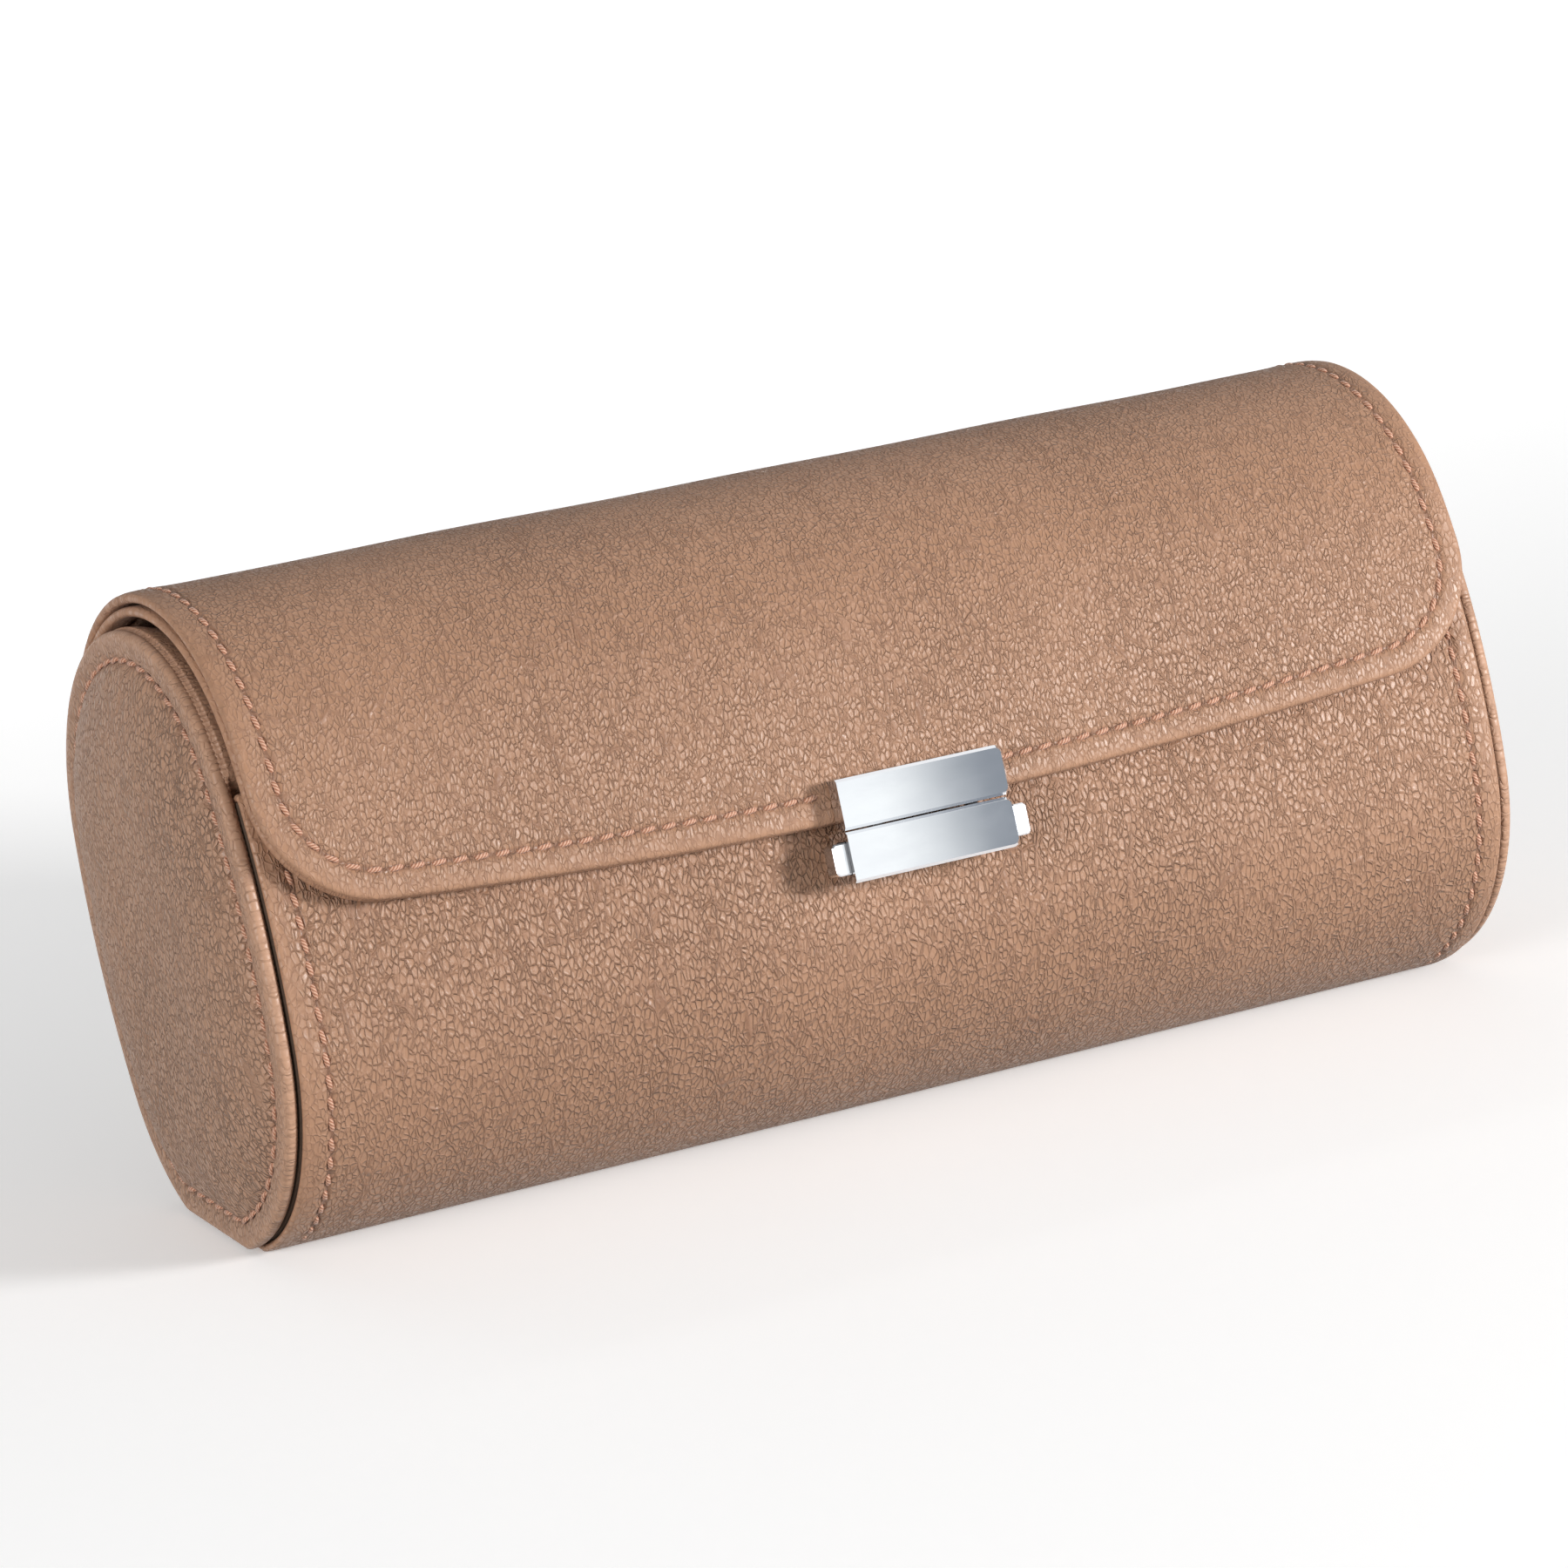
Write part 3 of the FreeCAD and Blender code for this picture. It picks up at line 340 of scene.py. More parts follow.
def leather_sheet(name, path, outline, thick, seam, sag=None, core=1.2, facing=1):
    """A closed sheet with a rounded rim, laid along a section path. Its good side looks along
    the path's normal, or the other way if facing is -1. seam says where the stitch line is,
    sag how the sheet gives, and core how deep its underside lies away from the rim."""
    seam_at = measured(outline.ring(STITCH_INSET))[1][:-1]
    profile = rim_profile(thick, core)
    count = len(seam_at)
    rings = [outline.ring(d) for d, _ in profile]
    inset = np.repeat([d for d, _ in profile], count)
    height = np.repeat([h for _, h in profile], count)
    good = np.repeat([h > -thick * 0.4 and d > 3 for d, h in profile], count)
    along = np.tile(seam_at, len(profile))
    points = np.vstack(rings)
    share = seam(points[:, 0], points[:, 1])
    height = height + good * share * furrow(inset, along)
    shown_inset = inset + good * SEAM_AWAY * (1 - share)
    faces = bands(len(profile), count)
    # the field inside the last ring, once on top and once underneath
    edge = rings[-1]
    low, high = edge.min(0), edge.max(0)
    grid = [(x, s) for x in np.arange(low[0] + FIELD_STEP, high[0], FIELD_STEP)
            for s in np.arange(low[1] + FIELD_STEP, high[1], FIELD_STEP)]
    grid = np.array([g for g in grid if deep_inside(g, edge, FIELD_STEP * 0.55)])
    coords = [Vector(p) for p in np.vstack([edge, grid])]
    made = delaunay_2d_cdt(coords, [], [list(range(count))], 1, 1e-6)
    origin = [o[0] for o in made[3]]
    first_top = (len(profile) - 1) * count
    total = len(points)
    field_count = len(grid)

    def top_index(k):
        return first_top + k if k < count else total + k - count

    def under_index(k):
        return k if k < count else total + field_count + k - count

    for triangle in made[2]:
        ids = [origin[v] for v in triangle]
        faces.append(tuple(top_index(k) for k in ids))
        faces.append(tuple(under_index(k) for k in reversed(ids)))
    points = np.vstack([points, grid, grid])
    shown_inset = np.r_[shown_inset, np.full(2 * field_count, FIELD_INSET)]
    along = np.r_[along, np.zeros(2 * field_count)]
    height = np.r_[height, np.zeros(field_count), np.full(field_count, -core)]
    x, s = points[:, 0], points[:, 1]
    if sag is not None:
        height = height + sag(x, s)
    obj = new_mesh(name, path.place(x, s, height * facing), facing_side(faces, facing))
    vector_attribute(obj, "leather_at", np.stack([x, s, height], 1) * MM)
    vector_attribute(obj, "seam_at", np.stack([along, shown_inset, np.zeros(len(x))], 1) * MM)
    return obj


def deep_inside(point, ring, margin):
    """True where a point lies inside a ring and at least margin from it."""
    d = ring - np.asarray(point)
    if (d ** 2).sum(1).min() < margin ** 2:
        return False
    a, b = ring, np.roll(ring, -1, 0)
    crosses = (a[:, 1] > point[1]) != (b[:, 1] > point[1])
    if not crosses.any():
        return False
    a, b = a[crosses], b[crosses]
    at = a[:, 0] + (point[1] - a[:, 1]) / (b[:, 1] - a[:, 1]) * (b[:, 0] - a[:, 0])
    return bool((at > point[0]).sum() % 2)


def measured(ring):
    """A ring closed on itself, and the length along it at each point."""
    closed = np.vstack([ring, ring[:1]])
    return closed, np.r_[0, np.cumsum(np.linalg.norm(np.diff(closed, axis=0), axis=1))]


def bands(layers, count, closed=False):
    """Faces between rings of points that follow one another; closed joins the last to the first."""
    faces = []
    for r in range(layers if closed else layers - 1):
        a, b = r * count, (r + 1) % layers * count
        for k in range(count):
            j = (k + 1) % count
            faces.append((a + k, a + j, b + j, b + k))
    return faces


def facing_side(faces, side):
    """The same faces, turned over if side is -1."""
    return faces if side > 0 else [tuple(reversed(face)) for face in faces]


def new_mesh(name, vertices, faces):
    mesh = bpy.data.meshes.new(name)
    mesh.from_pydata([tuple(v) for v in vertices], [], faces)
    mesh.validate()
    mesh.update()
    mesh.polygons.foreach_set("use_smooth", [True] * len(mesh.polygons))
    obj = bpy.data.objects.new(name, mesh)
    bpy.context.scene.collection.objects.link(obj)
    return obj


def vector_attribute(obj, name, values):
    attribute = obj.data.attributes.new(name, "FLOAT_VECTOR", "POINT")
    attribute.data.foreach_set("vector", np.asarray(values, np.float32).ravel())


def waves(x, s, seed):
    """A slow, uneven undulation built from a few long waves."""
    rng = random.Random(seed)
    total = np.zeros(len(x))
    for _ in range(7):
        length = rng.uniform(38, 120)
        turn = rng.uniform(0, math.pi)
        phase = rng.uniform(0, 2 * math.pi)
        size = rng.uniform(0.4, 1.0) * length / 120
        total += size * np.sin(2 * math.pi * (x * math.cos(turn) + s * math.sin(turn)) / length
                               + phase)
    return total / 2.2


# ---------------------------------------------------------------- materials


class Nodes:
    """Short calls for building a node material."""

    def __init__(self, name):
        self.material = bpy.data.materials.new(name)
        self.material.use_nodes = True
        self.tree = self.material.node_tree
        self.tree.nodes.clear()
        self.output = self.add("ShaderNodeOutputMaterial")
        self.shader = self.add("ShaderNodeBsdfPrincipled")
        self.link(self.shader.outputs[0], self.output.inputs[0])

    def add(self, kind, **settings):
        node = self.tree.nodes.new(kind)
        for key, value in settings.items():
            setattr(node, key, value)
        return node

    def link(self, source, target):
        self.tree.links.new(source, target)

    def feed(self, node, values):
        for key, value in values.items():
            if hasattr(value, "is_linked"):
                self.link(value, node.inputs[key])
            else:
                node.inputs[key].default_value = value
        return node

    def math(self, operation, a, b=0.0, clamp=False):
        node = self.add("ShaderNodeMath", operation=operation, use_clamp=clamp)
        self.feed(node, {0: a, 1: b})
        return node.outputs[0]

    def millimetres(self, name):
        """A vector attribute of the mesh, stored in metres, as millimetres."""
        stored = self.add("ShaderNodeAttribute", attribute_name=name).outputs["Vector"]
        return self.scaled(stored, (1 / MM, 1 / MM, 1 / MM))

    def object_place(self):
        return self.add("ShaderNodeTexCoord").outputs["Object"]

    def scaled(self, vector, scale):
        node = self.add("ShaderNodeMapping")
        self.feed(node, {"Vector": vector, "Scale": scale})
        return node.outputs[0]

    def noise(self, vector, scale, detail=2.0, roughness=0.5, distortion=0.0):
        node = self.add("ShaderNodeTexNoise")
        self.feed(node, {"Vector": vector, "Scale": scale, "Detail": detail,
                         "Roughness": roughness, "Distortion": distortion})
        return node.outputs["Fac"]

    def cell_edge(self, vector, scale):
        """Distance to the nearest edge between irregular cells."""
        node = self.add("ShaderNodeTexVoronoi", feature="DISTANCE_TO_EDGE")
        self.feed(node, {"Vector": vector, "Scale": scale, "Randomness": 1.0})
        return node.outputs["Distance"]

    def span(self, value, low, high, out_low=0.0, out_high=1.0):
        """A smooth step between two values, clamped outside them."""
        node = self.add("ShaderNodeMapRange", interpolation_type="SMOOTHSTEP")
        self.feed(node, {"Value": value, "From Min": low, "From Max": high,
                         "To Min": out_low, "To Max": out_high})
        return node.outputs["Result"]

    def mix(self, factor, a, b):
        node = self.add("ShaderNodeMix", data_type="RGBA")
        for index, value in ((0, factor), (6, a), (7, b)):
            if hasattr(value, "is_linked"):
                self.link(value, node.inputs[index])
            else:
                node.inputs[index].default_value = value
        return node.outputs[2]

    def bump(self, height, distance, strength=1.0, normal=None):
        node = self.add("ShaderNodeBump")
        self.feed(node, {"Height": height, "Distance": distance, "Strength": strength})
        if normal is not None:
            self.link(normal, node.inputs["Normal"])
        return node.outputs[0]

    def finish(self, **values):
        self.feed(self.shader, {key.replace("_", " "): value for key, value in values.items()})
        return self.material


def rgb(red, green, blue):
    """A colour given as 0 to 255 screen values, turned to linear."""
    def linear(v):
        v /= 255
        return v / 12.92 if v <= 0.04045 else ((v + 0.055) / 1.055) ** 2.4
    return (linear(red), linear(green), linear(blue), 1.0)


def shade(colour, factor):
    """The same colour, darker or lighter."""
    return tuple(min(1.0, c * factor) for c in colour[:3]) + (1.0,)


def leather_material(name, colour, dark, cell=0.80, depth=0.20, stretch=(1.0, 0.58), seam=True):
    """Pebble grain: rounded cells parted by fine creases, over slow folds and patches. The creases,
    the stitch groove and its needle holes are coloured darker as painted shade.
    """
    n = Nodes(name)
    at = n.millimetres("leather_at")
    flat = n.scaled(at, (stretch[0], stretch[1], 0.0))
    wobble = n.add("ShaderNodeTexNoise")
    n.feed(wobble, {"Vector": flat, "Scale": 0.35, "Detail": 2.0})
    shift = n.add("ShaderNodeVectorMath", operation="MULTIPLY_ADD")
    n.link(wobble.outputs["Color"], shift.inputs[0])
    shift.inputs[1].default_value = (0.9, 0.9, 0.0)
    n.link(flat, shift.inputs[2])
    warped = shift.outputs[0]
    broken = n.span(n.noise(warped, 0.85, 2.0), 0.36, 0.60, 0.32, 1.0)
    edge = n.cell_edge(warped, 1 / cell)
    crease = n.math("MULTIPLY", n.span(edge, 0.0, 0.13, 1.0, 0.0), broken)
    long_edge = n.cell_edge(n.scaled(warped, (1.0, 0.7, 1.0)), 0.30 / cell)
    long_crease = n.math("MULTIPLY", n.span(long_edge, 0.0, 0.06, 1.0, 0.0),
                         n.span(n.noise(flat, 0.16, 1.0), 0.42, 0.62, 0.0, 1.0))
    crease = n.math("MAXIMUM", crease, long_crease)
    pebble = n.span(edge, 0.0, 0.30)
    fine_edge = n.cell_edge(warped, 2.1 / cell)
    fine = n.math("MULTIPLY", n.span(fine_edge, 0.0, 0.16, 1.0, 0.0),
                  n.span(n.noise(warped, 1.3, 1.0), 0.4, 0.6, 0.1, 1.0))
    pores = n.noise(warped, 5.0 / cell, 2.0)
    strength = n.span(n.noise(flat, 0.022, 1.0), 0.3, 0.7, 0.72, 1.0)
    folds = n.noise(n.scaled(at, (0.16, 0.05, 0.0)), 1.0, 3.0, 0.55, 0.6)
    height = n.math("SUBTRACT", n.math("MULTIPLY", pebble, 0.34),
                    n.math("MULTIPLY", crease, 1.15))
    height = n.math("SUBTRACT", height, n.math("MULTIPLY", fine, 0.12))
    height = n.math("MULTIPLY", height, strength)
    height = n.math("ADD", height, n.math("MULTIPLY", pores, 0.12))
    patch = n.noise(flat, 0.02, 3.0, 0.6)
    tone = n.mix(n.span(patch, 0.3, 0.7), colour, shade(colour, 0.95))
    # painted shade: the grain's creases are coloured darker, as shade falling into them
    deep = n.math("ADD", n.math("MULTIPLY", crease, 0.36), n.math("MULTIPLY", fine, 0.05), True)
    tone = n.mix(n.math("MULTIPLY", deep, strength), tone, dark)
    rough = n.span(pebble, 0.0, 1.0, 0.62, 0.38)
    if seam:
        seam_at = n.add("ShaderNodeSeparateXYZ")
        n.link(n.millimetres("seam_at"), seam_at.inputs[0])
        along, inset = seam_at.outputs[0], seam_at.outputs[1]
        phase = n.math("SUBTRACT", n.math("FRACT", n.math("DIVIDE", along, STITCH)), 0.5)
        across = n.math("SUBTRACT", inset, STITCH_INSET)
        gap = n.math("SUBTRACT", 0.5, n.math("ABSOLUTE", phase))
        hole = n.math("SQRT", n.math("ADD", n.math("POWER", n.math("MULTIPLY", gap, STITCH), 2.0),
                                     n.math("POWER", across, 2.0)))
        hole = n.span(hole, 0.28, 0.72, 1.0, 0.0)
        # painted shade: the stitch groove is coloured darker along its length
        groove = n.span(n.math("ABSOLUTE", across), 0.1, 0.8, 1.0, 0.0)
        tone = n.mix(n.math("MULTIPLY", groove, 0.46), tone, dark)
        # painted shade: the needle holes are coloured almost black
        tone = n.mix(n.math("MULTIPLY", hole, 0.9), tone, shade(dark, 0.25))
        rim = n.span(inset, 0.2, 2.2, 1.0, 0.0)
        worn = n.math("MULTIPLY", rim, n.span(n.noise(at, 0.3, 2.0), 0.35, 0.65, 0.2, 0.7))
        tone = n.mix(worn, tone, shade(colour, 1.15))
        pull = n.add("ShaderNodeCombineXYZ")
        n.link(n.math("MULTIPLY", along, 1.1), pull.inputs[0])
        n.link(n.math("MULTIPLY", inset, 0.22), pull.inputs[1])
        drawn = n.math("MULTIPLY", n.noise(pull.outputs[0], 1.0, 2.0),
                       n.span(n.math("ABSOLUTE", n.math("SUBTRACT", inset, 7.0)),
                              0.5, 4.0, 1.0, 0.0))
        height = n.math("MULTIPLY", height, n.span(inset, 1.0, 5.5, 0.35, 1.0))
        height = n.math("ADD", height, n.math("MULTIPLY", drawn, 0.9))
    normal = n.bump(folds, 0.0011, 0.5)
    normal = n.bump(height, depth * MM, 1.0, normal)
    return n.finish(Base_Color=tone, Roughness=rough, Normal=normal, Specular_IOR_Level=0.5,
                    Sheen_Weight=0.06, Sheen_Roughness=0.5)


TAN = rgb(177, 134, 105)
# the darker tan serves only as painted shade, in creases, stitch grooves and needle holes
TAN_SHADE = rgb(98, 60, 42)
leather = leather_material("tan_leather", TAN, TAN_SHADE)
panel_leather = leather_material("tan_leather_panel", TAN, TAN_SHADE, cell=0.95, depth=0.28)
# painted light: the gusset's copy of the tan leather gets a lighter base colour, to lift it out of the
# shade in the mouth
gusset_leather_lightened = leather_material("tan_leather_gusset_lightened", rgb(184, 142, 114), TAN_SHADE, cell=0.8,
                                  depth=0.06, seam=False)
# painted light: the end covers' copy is lighter than the body's tan, to brighten the ends that face
# away from the key light
cap_leather_lightened = leather_material("tan_leather_cap_lightened", rgb(188, 146, 118), TAN_SHADE, cell=0.85,
                               depth=0.32, stretch=(1.0, 0.60))


def suede_material(name, colour):
    n = Nodes(name)
    at = n.object_place()
    nap = n.noise(at, 2600.0, 4.0, 0.7)
    brushed = n.noise(n.scaled(at, (40.0, 40.0, 90.0)), 1.0, 3.0, 0.6)
    tone = n.mix(n.span(brushed, 0.35, 0.65), colour, shade(colour, 0.72))
    tone = n.mix(n.math("MULTIPLY", nap, 0.35), tone, shade(colour, 0.5))
    return n.finish(Base_Color=tone, Roughness=0.93, Normal=n.bump(nap, 0.00025, 0.7),
                    Sheen_Weight=0.5, Sheen_Roughness=0.4, Specular_IOR_Level=0.2)


def chrome_material(name, smooth=0.035, dull=0.085):
    n = Nodes(name)
    at = n.object_place()
    smear = n.noise(n.scaled(at, (60.0, 60.0, 160.0)), 1.0, 4.0, 0.6)
    rough = n.span(smear, 0.3, 0.75, smooth, dull)
    ripple = n.noise(at, 90.0, 1.0)
    tone = n.mix(n.span(smear, 0.2, 0.8), (0.86, 0.87, 0.89, 1), (0.80, 0.81, 0.84, 1))
    return n.finish(Base_Color=tone, Metallic=1.0, Roughness=rough,
                    Normal=n.bump(ripple, 0.00002, 0.4))


def steel_material(name):
    n = Nodes(name)
    at = n.object_place()
    grain = n.noise(n.scaled(at, (60.0, 4000.0, 4000.0)), 1.0, 3.0)
    tone = n.mix(grain, (0.48, 0.48, 0.49, 1), (0.62, 0.62, 0.63, 1))
    return n.finish(Base_Color=tone, Metallic=1.0, Roughness=n.span(grain, 0.2, 0.8, 0.28, 0.45),
                    Normal=n.bump(grain, 0.00002, 0.5))


def board_material(name, colour):
    n = Nodes(name)
    at = n.object_place()
    fibre = n.noise(n.scaled(at, (400.0, 1500.0, 1500.0)), 1.0, 4.0, 0.7)
    tone = n.mix(fibre, colour, shade(colour, 0.6))
    return n.finish(Base_Color=tone, Roughness=0.88, Normal=n.bump(fibre, 0.0001, 0.6))


def elastic_material(name, colour):
    n = Nodes(name)
    at = n.object_place()
    ribs = n.add("ShaderNodeTexWave", bands_direction="X")
    n.feed(ribs, {"Vector": at, "Scale": 260.0, "Distortion": 0.4})
    tone = n.mix(ribs.outputs["Fac"], colour, shade(colour, 2.0))
    return n.finish(Base_Color=tone, Roughness=0.8, Normal=n.bump(ribs.outputs["Fac"], 0.0002, 0.8),
                    Sheen_Weight=0.2)


def thread_material(name):
    n = Nodes(name)
    at = n.millimetres("thread_at")
    twist_and_highlight = n.add("ShaderNodeTexWave", bands_direction="DIAGONAL")
    n.feed(twist_and_highlight, {"Vector": at, "Scale": 0.9, "Distortion": 0.3})
    fuzz = n.noise(at, 6.0, 3.0)
    # painted highlight: the twist's bands are painted in a pale highlight colour over the copper
    tone = n.mix(twist_and_highlight.outputs["Fac"], rgb(170, 104, 72), rgb(238, 192, 162))
    tone = n.mix(n.math("MULTIPLY", fuzz, 0.25), tone, rgb(140, 84, 62))
    return n.finish(Base_Color=tone, Roughness=0.55, Normal=n.bump(twist_and_highlight.outputs["Fac"], 0.00008, 0.8),
                    Sheen_Weight=0.3)


suede = suede_material("suede_lining", rgb(150, 116, 94))
chrome = chrome_material("polished_chrome")
satin = chrome_material("satin_chrome", 0.16, 0.24)
steel = steel_material("plain_steel")
board = board_material("grey_board", rgb(120, 100, 84))
edge_board = board_material("edge_board", rgb(88, 62, 48))
elastic = elastic_material("ribbed_elastic", rgb(58, 44, 36))
thread = thread_material("waxed_thread")

NODE_MATERIALS = {
    "striker_bar": chrome, "lock_cover": chrome, "button_left": satin, "button_right": satin,
    "striker_tongue": steel, "lock_plate": steel, "lock_backplate": steel,
    "striker_backplate": steel, "lock_rivets": steel, "striker_rivets": steel,
    "spring_left": steel, "spring_right": steel,
    "wrap_board": board, "flap_board": board,
    "end_board_left": edge_board, "end_board_right": edge_board,
    "end_padding_left": board, "end_padding_right": board,
    "wrap_lining": suede, "end_lining_left": suede, "end_lining_right": suede,
    "brush_panel": suede, "loop_band_left": elastic, "loop_band_right": elastic,
}


def dress(obj, material):
    obj.data.materials.clear()
    obj.data.materials.append(material)


for node, material in NODE_MATERIALS.items():
    dress(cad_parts[node], material)

# ---------------------------------------------------------------- leather pieces


def flap_sag(x, s):
    """Soft hollows in the flap, and the dent that the clasp pulls into it."""
    front = back_outline_front
    clasp = 0.55 * np.exp(-((np.abs(x) - 24) / 10) ** 2 - ((s - front + 7) / 9) ** 2)
    body = 0.30 * waves(x, s, 4) * np.clip((HALF - np.abs(x)) / 25, 0, 1)
    return body - clasp


def flap_seam(x, s):
    """The stitch line runs out at the bottom join and stops at the clasp."""
    clasp = ramp(BAR_HALF + 2.2 - np.abs(x), 0, 1.2) * ramp(s, back_outline_front - 12,
                                                            back_outline_front - 9)
    return ramp(s, 7, 12) * (1 - clasp)


def front_sag(x, s):
    """The front panel swells gently and gives way beside the clasp."""
    clasp_at = front_path.where(lambda y, z: z < -CLASP_DROP - BAR_HEIGHT / 2 and y < 0)
    away = np.clip((np.abs(x) - BAR_HALF) / 8, 0, None)
    clasp = 0.7 * np.exp(-away ** 2 - ((s - clasp_at) / 11) ** 2)
    body = 0.22 * waves(x, s, 9) * np.clip((HALF - np.abs(x)) / 25, 0, 1)
    calm = np.clip((s - 14) / 20, 0, 1) * np.clip((front_path.length - s) / 25, 0, 1)
    return (body - clasp) * calm


back_outline = flap_outline(back_path, FLAP_LOW)
back_outline_front = back_outline.ring(0)[:, 1].max()
back_leather = leather_sheet("back_and_flap_leather", back_path, back_outline, OUTER_PLY,
                             flap_seam, flap_sag, core=1.5)
dress(back_leather, leather)
front_outline = plain_outline(front_path.length)
front_leather = leather_sheet(
    "front_panel_leather", front_path, front_outline, FRONT_PLY,
    lambda x, s: ramp(s, 9, 13) * ramp(front_path.length - s, 7, 12), front_sag)
dress(front_leather, panel_leather)
lining_outline = flap_outline(lining_path, FLAP_LOW)
flap_inner = leather_sheet("flap_inner_leather", lining_path, lining_outline, OUTER_PLY,
                           lambda x, s: ramp(s, 12, 20), facing=-1)
dress(flap_inner, leather)


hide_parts("flap_leather")
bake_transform(back_leather)
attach(front_leather, "case")
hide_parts("wrap_leather")
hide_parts("flap_lining")
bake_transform(flap_inner)

# ---------------------------------------------------------------- domed ends


def oval_ring(offset):
    """The closed oval, offset, with the same number of points for every offset."""
    parts = []
    for side, start, end, count in (("back", -JOIN, JOIN, 44), ("top", JOIN, math.pi - JOIN, 110),
                                    ("front", math.pi - JOIN, math.pi + JOIN, 44),
                                    ("bottom", math.pi + JOIN, 2 * math.pi - JOIN, 110)):
        y, z, radius = ARCS[side]
        radius += offset
        t = np.linspace(start, end, count, endpoint=False)
        points = np.stack([y + radius * np.cos(t), z + radius * np.sin(t)], 1)
        if side == "bottom":
            points = flattened(points, offset)
        parts.append(points)
    return np.vstack(parts)


CROWN_ROWS = (5.35, 5.7, 6.1, 6.7, 7.5, 8.5, 10.0, 12.0, 14.5, 17.5, 21.0, 25.0, 29.0, 33.0)
CROWN_CENTRE = {35.0: 0.75, 38.0: 0.5, 41.0: 0.25}      # inset: size over the 33 mm ring
CROWN_INSETS = CROWN_ROWS + tuple(CROWN_CENTRE)
CROWN_RISE = DOME_HEIGHT - 0.7
CROWN_EDGE = 5.2        # inset where the crown starts to rise
CROWN_REACH = 30.0
CROWN_STEEP = 3.2
CROWN_SWELL = 0.35      # slow unevenness of the pad
FLANGE_INSET = 1.0
FLANGE_SEAM = SEAM_ROWS[:5]
CAP_GROOVE = 0.65
PUCKER = 0.10           # folds that start at the stitches


def crown_rings():
    """Rings of (y, z) from the stitch line to the middle of an end."""
    rings = [oval_ring(-FLANGE_INSET - d) for d in CROWN_ROWS]
    centre = rings[-1].mean(0)
    return rings + [centre + (rings[-1] - centre) * k for k in CROWN_CENTRE.values()]


def crown_height(inset):
    """Height of the crown over the flange: steep over the pad's edge, then nearly flat."""
    away = min(max((inset - CROWN_EDGE) / CROWN_REACH, 0), 1)
    return CROWN_RISE * (1 - (1 - away) ** CROWN_STEEP)


def end_cover(name, side, seed):
    """A stitched flange round a crowned pad, closed at the back."""
    half = FLANGE / 2
    rows = [(6.0, 0.0), (2.4, 0.0)]
    for k in range(9):
        a = math.pi * k / 8
        rows.append((0.8 * half * (1 - math.sin(a)), half - half * math.cos(a)))
    rows += [(1.8, FLANGE + 0.10), (2.8, FLANGE + 0.12)]
    rows += [(d, FLANGE) for d in FLANGE_SEAM]
    flange_rows = len(rows)
    seam_ring = oval_ring(-FLANGE_INSET - STITCH_INSET)
    _, length = measured(seam_ring)
    perimeter = length[-1]
    along = length[:-1] * STITCH / (perimeter / round(perimeter / STITCH))
    count = len(seam_ring)
    yz = [oval_ring(-FLANGE_INSET - d) for d, _ in rows] + crown_rings()
    height = [np.full(count, h) for _, h in rows]
    height += [np.full(count, FLANGE + crown_height(d)) for d in CROWN_INSETS]
    inset = np.r_[[d for d, _ in rows], CROWN_INSETS]
    for r in range(flange_rows - len(FLANGE_SEAM) - 1, len(height)):
        d = inset[r]
        near = math.exp(-((d - STITCH_INSET) / 1.1) ** 2)
        height[r] = (height[r] - CAP_GROOVE * math.exp(-((d - STITCH_INSET) / 0.6) ** 2)
                     - HOLE_DEPTH * near * np.cos(2 * math.pi * along / STITCH)
                     + PUCKER * math.exp(-((d - 8.5) / 3.0) ** 2)
                     * np.sin(math.pi * along / STITCH + seed))
    layers = len(yz)
    yz, h = np.vstack(yz), np.concatenate(height)
    inset, run = np.repeat(inset, count), np.tile(along, layers)
    swell = CROWN_SWELL * waves(yz[:, 0] * 1.6, yz[:, 1] * 1.6, seed)
    h = h + np.clip((inset - 7) / 12, 0, 1) * swell
    faces = bands(layers, count)
    faces.append(tuple(range((layers - 1) * count, layers * count)))
    faces.append(tuple(reversed(range(count))))
    x = side * (CAP_START + h)
    obj = new_mesh(name, to_row(np.stack([x, yz[:, 0], yz[:, 1]], 1)), facing_side(faces, side))
    vector_attribute(obj, "leather_at", np.stack([yz[:, 0], yz[:, 1], h], 1) * MM)
    vector_attribute(obj, "seam_at", np.stack([run, inset, np.zeros(len(run))], 1) * MM)
    dress(obj, cap_leather_lightened)
    return obj


GUSSET_POINTS = 1500
RIB_PITCH = 0.95
RIB_DEPTH = 0.42
GUSSET_OUTER = 4.15     # how far the gusset's two faces lie inside the oval
GUSSET_INNER = 5.5
MOUTH_RISE = 3.6        # how far the ribs rise in the open mouth, at most
MOUTH_GAP = 0.75        # clearance kept to the flap


